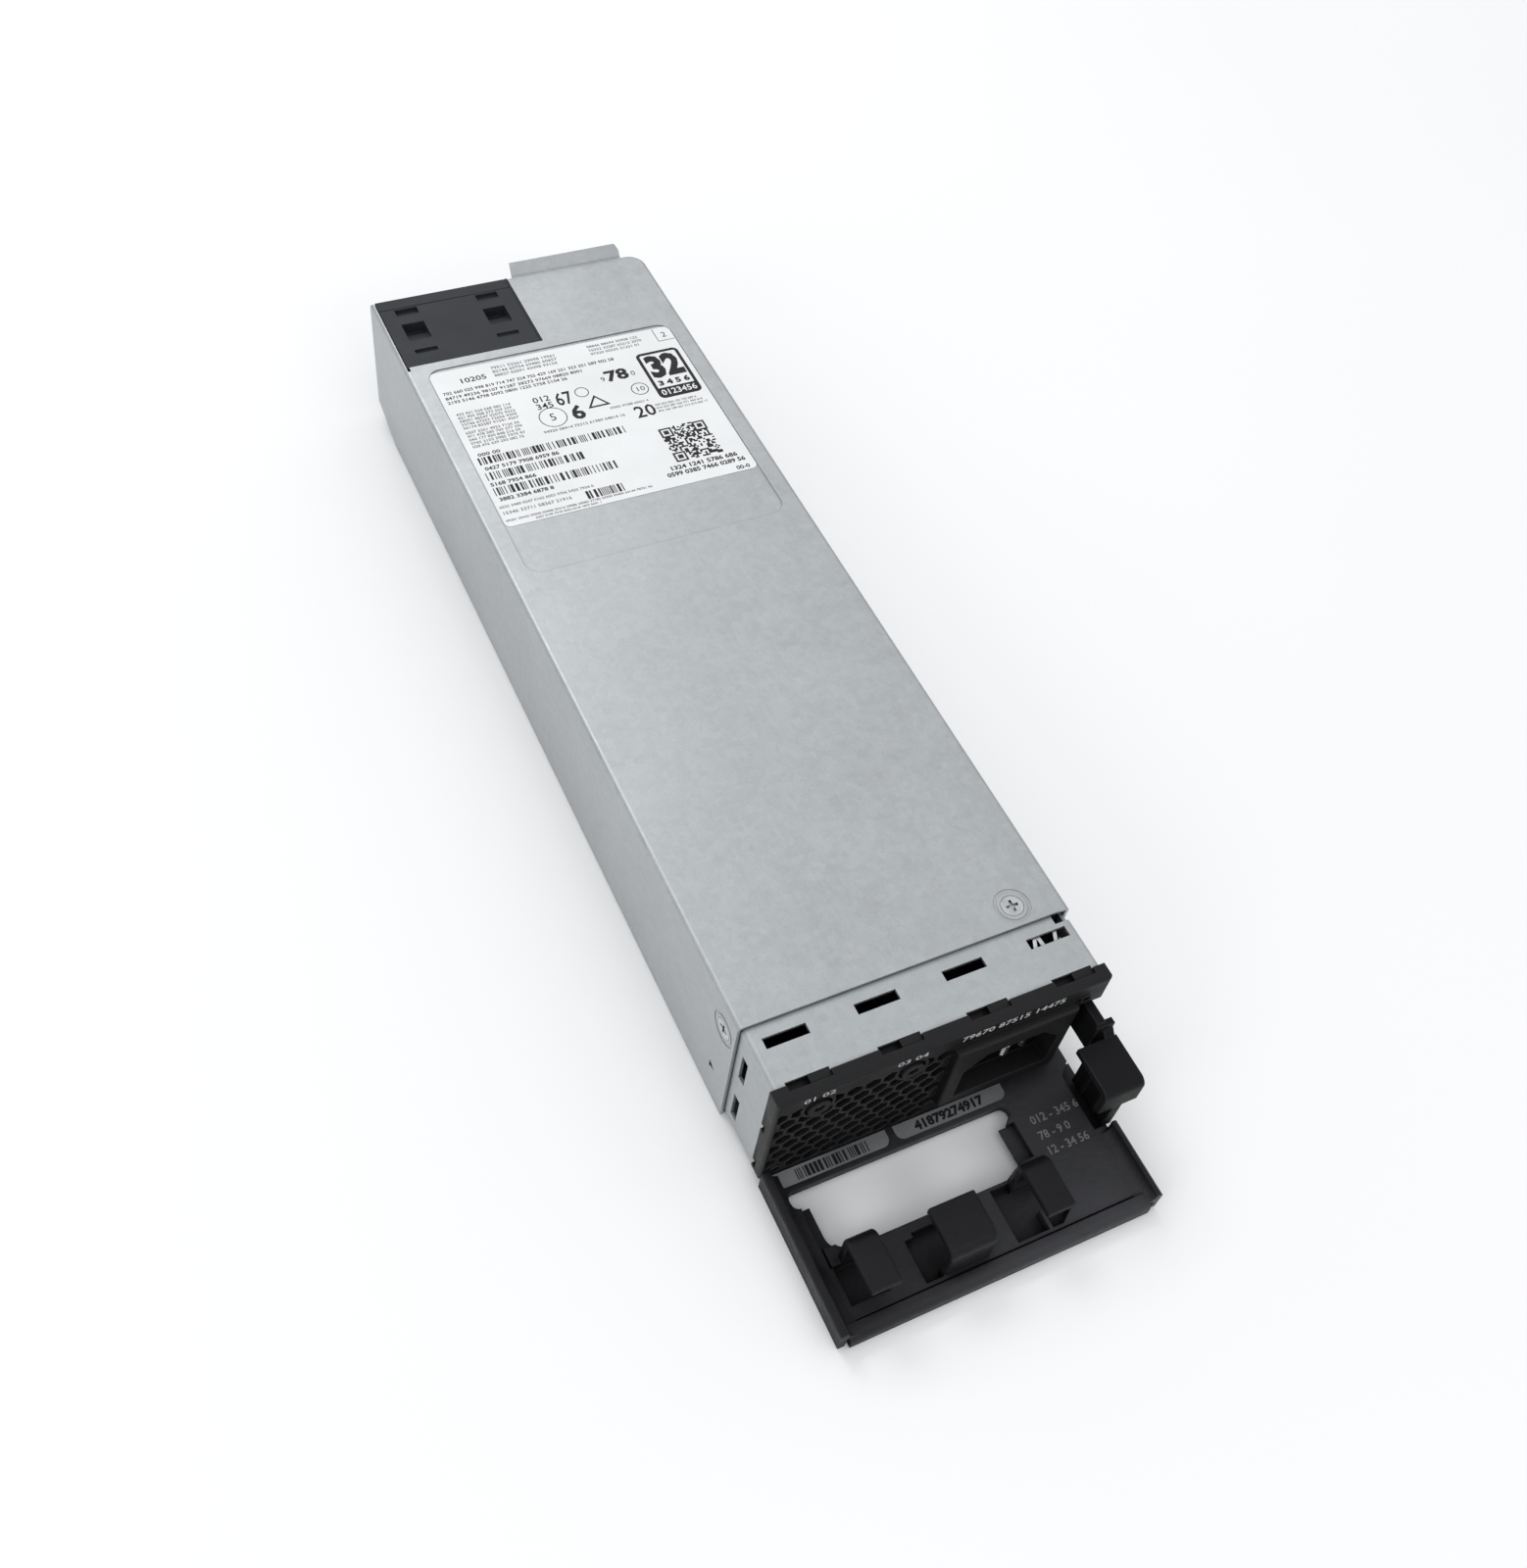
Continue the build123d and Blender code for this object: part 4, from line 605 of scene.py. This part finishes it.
def label_grey(bm):
    """Small grey rows of plain numbers."""
    for block in (
        # Seed, left, right, top, pitch, rows, size and ragged
        (3, -18.6, 0.5, 211.5, 1.6, 3, 1.05, 1.5),
        (5, 10.0, 27.0, 212.0, 1.6, 3, 0.95, 2.5),
        (7, -33.8, -18.0, 196.2, 1.4, 5, 0.95, 1.6),
        (9, -33.8, -18.0, 188.6, 1.4, 5, 0.95, 1.6),
        (11, -14.0, 9.5, 182.5, 1.4, 1, 1.0),
        (13, 6.6, 18.0, 186.2, 1.4, 1, 0.8),
        (15, 18.8, 34.2, 183.6, 1.3, 3, 0.75, 3.0),
        (17, -35.0, -9.0, 159.4, 1.9, 1, 0.9),
        (19, -35.0, -16.0, 157.0, 1.9, 1, 1.1),
        (21, -35.0, 5.6, 154.4, 1.0, 1, 0.75),
        (23, -27.4, -9.4, 153.2, 1.0, 1, 0.7),
    ):
        fine_rows(bm, *block)


def label_dark(bm):
    """Dark rows, bars, rings and blocks in places of their own."""
    fine_rows(bm, 25, -34.4, 15.4, 205.0, 1.95, 1, 1.15)
    fine_rows(bm, 27, -34.4, 5.0, 203.0, 1.95, 1, 1.15)
    fine_rows(bm, 29, -34.4, 0.0, 201.2, 1.95, 1, 1.15)
    page.text(bm, "10205", -28.6, 208.4, 1.9, INK, 7.8, 0.04)
    page.text(bm, "012", -12.4, 194.7, 2.2, INK, 4.9, 0.04)
    page.text(bm, "345", -12.4, 191.9, 2.2, INK, 4.9, 0.04)
    page.text(bm, "67", -6.4, 191.8, 5.0, INK, 4.9, 0.10)
    page.ring(bm, -9.4, 188.0, 3.9, 3.65, INK)
    page.text(bm, "5", -10.4, 186.7, 2.8, INK)
    page.text(bm, "6", -4.2, 185.3, 5.2, INK, 3.8, 0.24)
    page.ring(bm, 1.7, 195.1, 2.0, 1.75, INK)
    page.polygon(bm, [(1.0, 188.2), (7.6, 188.2), (4.3, 193.0)], TRIANGLE_INK)
    page.ring(bm, 17.6, 191.6, 2.5, 2.25, INK)
    page.text(bm, "10", 16.2, 190.7, 1.8, INK, 2.8)
    page.text(bm, "78", 10.2, 197.0, 4.1, INK, 6.8, 0.22)
    page.text(bm, "9", 8.6, 197.4, 1.9, INK)
    page.text(bm, "0", 17.6, 197.4, 1.9, INK)
    page.text(bm, "20", 12.4, 180.5, 4.5, INK, 6.0, 0.10)
    page.rect(bm, 30.6, 208.8, 30.8, 214.2, INK)
    page.rect(bm, 30.6, 208.7, 35.6, 208.9, INK)
    page.text(bm, "2", 32.4, 210.2, 2.2, INK)
    page.frame(bm, 21.6, 185.8, 34.4, 205.2, 1.6, 0.95, INK)
    page.text(bm, "32", 23.1, 194.8, 8.4, INK, 10.0, 0.62)
    page.text(bm, "3 4 5 6", 23.4, 191.0, 1.9, INK, 9.4, 0.14)
    page.rect(bm, 22.2, 186.3, 33.8, 190.0, BAND_INK)
    page.text(bm, "000 00", -33.6, 179.5, 1.2, INK, 6.2, 0.04)
    page.bars(bm, -34.2, 8.1, 176.2, 179.0, 41, 0.27, INK)
    page.text(bm, digits(43, 18), -33.6, 173.9, 1.25, INK, 20.6, 0.05)
    page.bars(bm, -34.2, -7.1, 170.1, 173.0, 45, 0.27, INK)
    page.text(bm, digits(47, 11), -34.3, 167.8, 1.25, INK, 12.6, 0.05)
    page.bars(bm, -34.2, 0.1, 164.1, 167.1, 49, 0.27, INK)
    page.text(bm, digits(51, 13), -34.0, 162.0, 1.25, INK, 15.0, 0.05)
    page.bars(bm, -12.0, -1.7, 155.5, 158.5, 53, 0.25, INK)
    page.text(bm, digits(55, 15), 12.6, 158.5, 1.45, INK, 19.8, 0.07)
    page.text(bm, digits(57, 18), 11.0, 156.3, 1.45, INK, 22.8, 0.07)
    page.text(bm, "00-0", 29.9, 153.3, 1.4, INK, 3.9, 0.05)
    mosaic(bm, 15.6, 161.0, 13.7, 25)


def mosaic(bm, x0, y0, size, count):
    """A seeded square pattern that encodes nothing, with three framed corners."""
    framed = 7
    filled_share = 0.48
    overlap = 1.02
    pick = random.Random(61)
    cell = size / count
    for row in range(count):
        for column in range(count):
            rear, left = row >= count - framed, column < framed
            corner = (row < framed or rear) and left or rear and column >= count - framed
            if not corner and pick.random() < filled_share:
                x, y = x0 + column * cell, y0 + row * cell
                far_x, far_y = x0 + (column + overlap) * cell, y0 + (row + overlap) * cell
                page.rect(bm, x, y, far_x, far_y, INK)
    for column, row in ((0, 0), (0, count - framed), (count - framed, count - framed)):
        x, y = x0 + column * cell, y0 + row * cell
        far_x, far_y = x + framed * cell - cell * 0.4, y + framed * cell - cell * 0.4
        page.frame(bm, x, y, far_x, far_y, 0.05, cell, INK)
        page.rect(bm, x + 2 * cell, y + 2 * cell, x + 4.7 * cell, y + 4.7 * cell, INK)


def label_light(bm):
    """White numbers on the dark band, and the white inside of the triangle."""
    page.text(bm, "0123456", 22.7, 187.0, 2.2, WHITE_INK, 10.6, 0.05)
    page.polygon(bm, [(2.1, 188.8), (6.5, 188.8), (4.3, 192.0)], WHITE_INK)


white_stock = paper("label_stock", (0.80, 0.81, 0.815), (0.74, 0.75, 0.755))
grey_stock = paper("strip_stock", (0.200, 0.203, 0.210), (0.100, 0.102, 0.108), (0.35, 0.5))
dark_ink = ink("dark_ink", (0.012, 0.012, 0.014), (0.05, 0.05, 0.054))
grey_ink = ink("grey_ink", (0.14, 0.14, 0.15), (0.28, 0.28, 0.29))
pale_ink = ink("pale_ink", (0.52, 0.52, 0.53), (0.34, 0.34, 0.35))
strip_ink = ink("strip_ink", (0.006, 0.006, 0.007), (0.018, 0.018, 0.02))
floor_ink = ink("floor_ink", (0.20, 0.20, 0.21), (0.11, 0.11, 0.115))
new_piece("label_sheet", label_base, white_stock)
new_piece("label_small_print", label_grey, grey_ink)
new_piece("label_print", label_dark, dark_ink)
new_piece("label_reversed_print", label_light, white_stock)

# The tray's floor: two strips at the bezel's foot, and print beside the hand hole
floor_page = Sheet((0.0, SEAM, TRAY_FLOOR), (1, 0, 0), (0, 1, 0))


def strips(bm):
    for x0, x1 in ((-37.9, -9.6), (-7.7, 20.9)):
        outline = floor_page.outline(x0, -23.0, x1, -19.25, 1.9, corners=(1, 1, 0, 0))
        floor_page.plate(bm, outline, SHEET_FOOT, STRIP_TOP)


def strip_print(bm):
    floor_page.bars(bm, -32.8, -14.9, -22.5, -19.9, 71, 0.27, STRIP_INK)
    floor_page.text(bm, digits(73, 11, 11), -2.7, -22.2, 2.1, STRIP_INK, 18.0, 0.15)


def floor_print(bm):
    floor_page.text(bm, "012 - 345 6", 22.8, -31.3, 2.0, BARE_INK, 12.8, 0.05)
    floor_page.text(bm, "78 - 9 0", 22.7, -35.3, 2.0, BARE_INK, 8.3, 0.05)
    floor_page.text(bm, "12 - 34 56", 22.6, -39.2, 2.0, BARE_INK, 11.1, 0.05)


new_piece("tray_strips", strips, grey_stock)
new_piece("tray_strip_print", strip_print, strip_ink)
new_piece("tray_floor_print", floor_print, floor_ink)


def connector_edge(bm):
    """A dark strip in the slit beside the connector's right edge, as a painted shadow."""
    page.plate(bm, page.outline(-1.04, 218.5, -0.64, 248.2, 0), -1.4, 0.1)


# Painted shadow: the dark strip fills the slit where only shade lies
new_piece("connector_edge", connector_edge, connector_black)

spring_page = Sheet(SPRING_FOOT, (1, 0, 0), (0, 1, SPRING_RISE))


def springs(bm):
    """Bright contact springs below the collar's right slot, each leaning to one side."""
    width, length, thickness = 1.0, 2.6, 0.15
    for x, lean in ((29.2, 0.9), (31.4, -0.5), (34.6, 0.8)):
        foot = [(x, 0.0), (x + width, 0.0)]
        tip = [(x + width + lean, length), (x + lean, length)]
        spring_page.plate(bm, foot + tip, 0.0, thickness)


new_piece("contact_springs", springs, spring_metal)

face_page = Sheet((0.0, BEZEL_FACE, 0.0), (1, 0, 0), (0, 0, 1))


def face_print(bm):
    """Numbers over the two light wells and along the top of the bezel."""
    face_page.text(bm, "01 02", -34.7, 36.25, 1.8, BARE_INK, 7.5, 0.02)
    face_page.text(bm, "03 04", -12.7, 36.5, 1.8, BARE_INK, 7.5, 0.02)
    face_page.text(bm, digits(75, 15, 5), 3.0, 36.5, 2.0, BARE_INK, 26.2, 0.04)


new_piece("bezel_print", face_print, pale_ink)


# Stage, light and camera

def stage_material():
    s = Shader("studio_floor")
    broad = s.noise(3.0, detail=3.0, rough=0.5)
    fine = s.noise(900.0, detail=3.0, rough=0.5)
    color = s.mixed(s.mask(broad, 0.3, 0.7), (0.90, 0.90, 0.90), (0.885, 0.885, 0.885))
    return s.done(color, s.vary(fine, 0.75, 0.85), extra={"Specular IOR Level": 0.1})


floor_mesh = bpy.data.meshes.new("studio_floor")
floor_corners = [
    (x * FLOOR_HALF, y * FLOOR_HALF, FLOOR_HEIGHT) for x, y in ((-1, -1), (1, -1), (1, 1), (-1, 1))
]
floor_mesh.from_pydata(floor_corners, [], [(0, 1, 2, 3)])
floor = bpy.data.objects.new("studio_floor", floor_mesh)
floor_mesh.materials.append(stage_material())
bpy.context.scene.collection.objects.link(floor)


def studio_world():
    """A soft white room: fill light that grows upward, and an even background for the camera."""
    world = bpy.data.worlds.new("studio")
    world.use_nodes = True
    nodes, link = world.node_tree.nodes, world.node_tree.links.new
    nodes.clear()
    output = nodes.new("ShaderNodeOutputWorld")
    mix = nodes.new("ShaderNodeMixShader")
    fill = nodes.new("ShaderNodeBackground")
    seen = nodes.new("ShaderNodeBackground")
    path = nodes.new("ShaderNodeLightPath")
    place = nodes.new("ShaderNodeTexCoord")
    split = nodes.new("ShaderNodeSeparateXYZ")
    grade = nodes.new("ShaderNodeMapRange")
    link(place.outputs["Generated"], split.inputs["Vector"])
    link(split.outputs["Z"], grade.inputs["Value"])
    grade.inputs["From Min"].default_value, grade.inputs["From Max"].default_value = FILL_SPAN
    grade.inputs["To Min"].default_value, grade.inputs["To Max"].default_value = FILL_STRENGTH
    fill.inputs["Color"].default_value = FILL_COLOR
    link(grade.outputs["Result"], fill.inputs["Strength"])
    seen.inputs["Color"].default_value = (1.0, 1.0, 1.0, 1.0)
    seen.inputs["Strength"].default_value = SEEN_STRENGTH
    link(path.outputs["Is Camera Ray"], mix.inputs["Fac"])
    link(fill.outputs["Background"], mix.inputs[1])
    link(seen.outputs["Background"], mix.inputs[2])
    link(mix.outputs["Shader"], output.inputs["Surface"])
    return world


bpy.context.scene.world = studio_world()


def softbox(name, place, aim, width, height, power):
    lamp = bpy.data.lights.new(name, "AREA")
    lamp.shape = "RECTANGLE"
    lamp.size = width
    lamp.size_y = height
    lamp.energy = power
    holder = bpy.data.objects.new(name, lamp)
    bpy.context.scene.collection.objects.link(holder)
    holder.location = place
    holder.rotation_mode = "QUATERNION"
    holder.rotation_quaternion = (Vector(aim) - Vector(place)).to_track_quat("-Z", "Y")


softbox("key", (-0.15, 0.95, 1.05), (0.0, 0.0, 0.02), 0.7, 0.5, 5.5)
softbox("side_fill", (-1.1, -0.5, 0.55), (0.0, -0.05, 0.02), 0.6, 0.6, 2.2)
softbox("front_fill", (0.1, -1.1, 0.75), (0.0, -0.1, 0.0), 0.5, 0.4, 2.0)

camera_data = bpy.data.cameras.new("camera")
camera_data.sensor_width = SENSOR
camera_data.lens = FOCAL_PIXELS / PHOTO_HEIGHT * SENSOR
camera_data.clip_start = 0.01
camera_data.clip_end = 50.0
camera = bpy.data.objects.new("camera", camera_data)
bpy.context.scene.collection.objects.link(camera)
camera_axes = (CAMERA_RIGHT, [-c for c in CAMERA_DOWN], [-c for c in CAMERA_AHEAD])
camera.matrix_world = placed(camera_axes, CAMERA_PLACE)
bpy.context.scene.camera = camera
bpy.context.scene.view_settings.view_transform = "Standard"
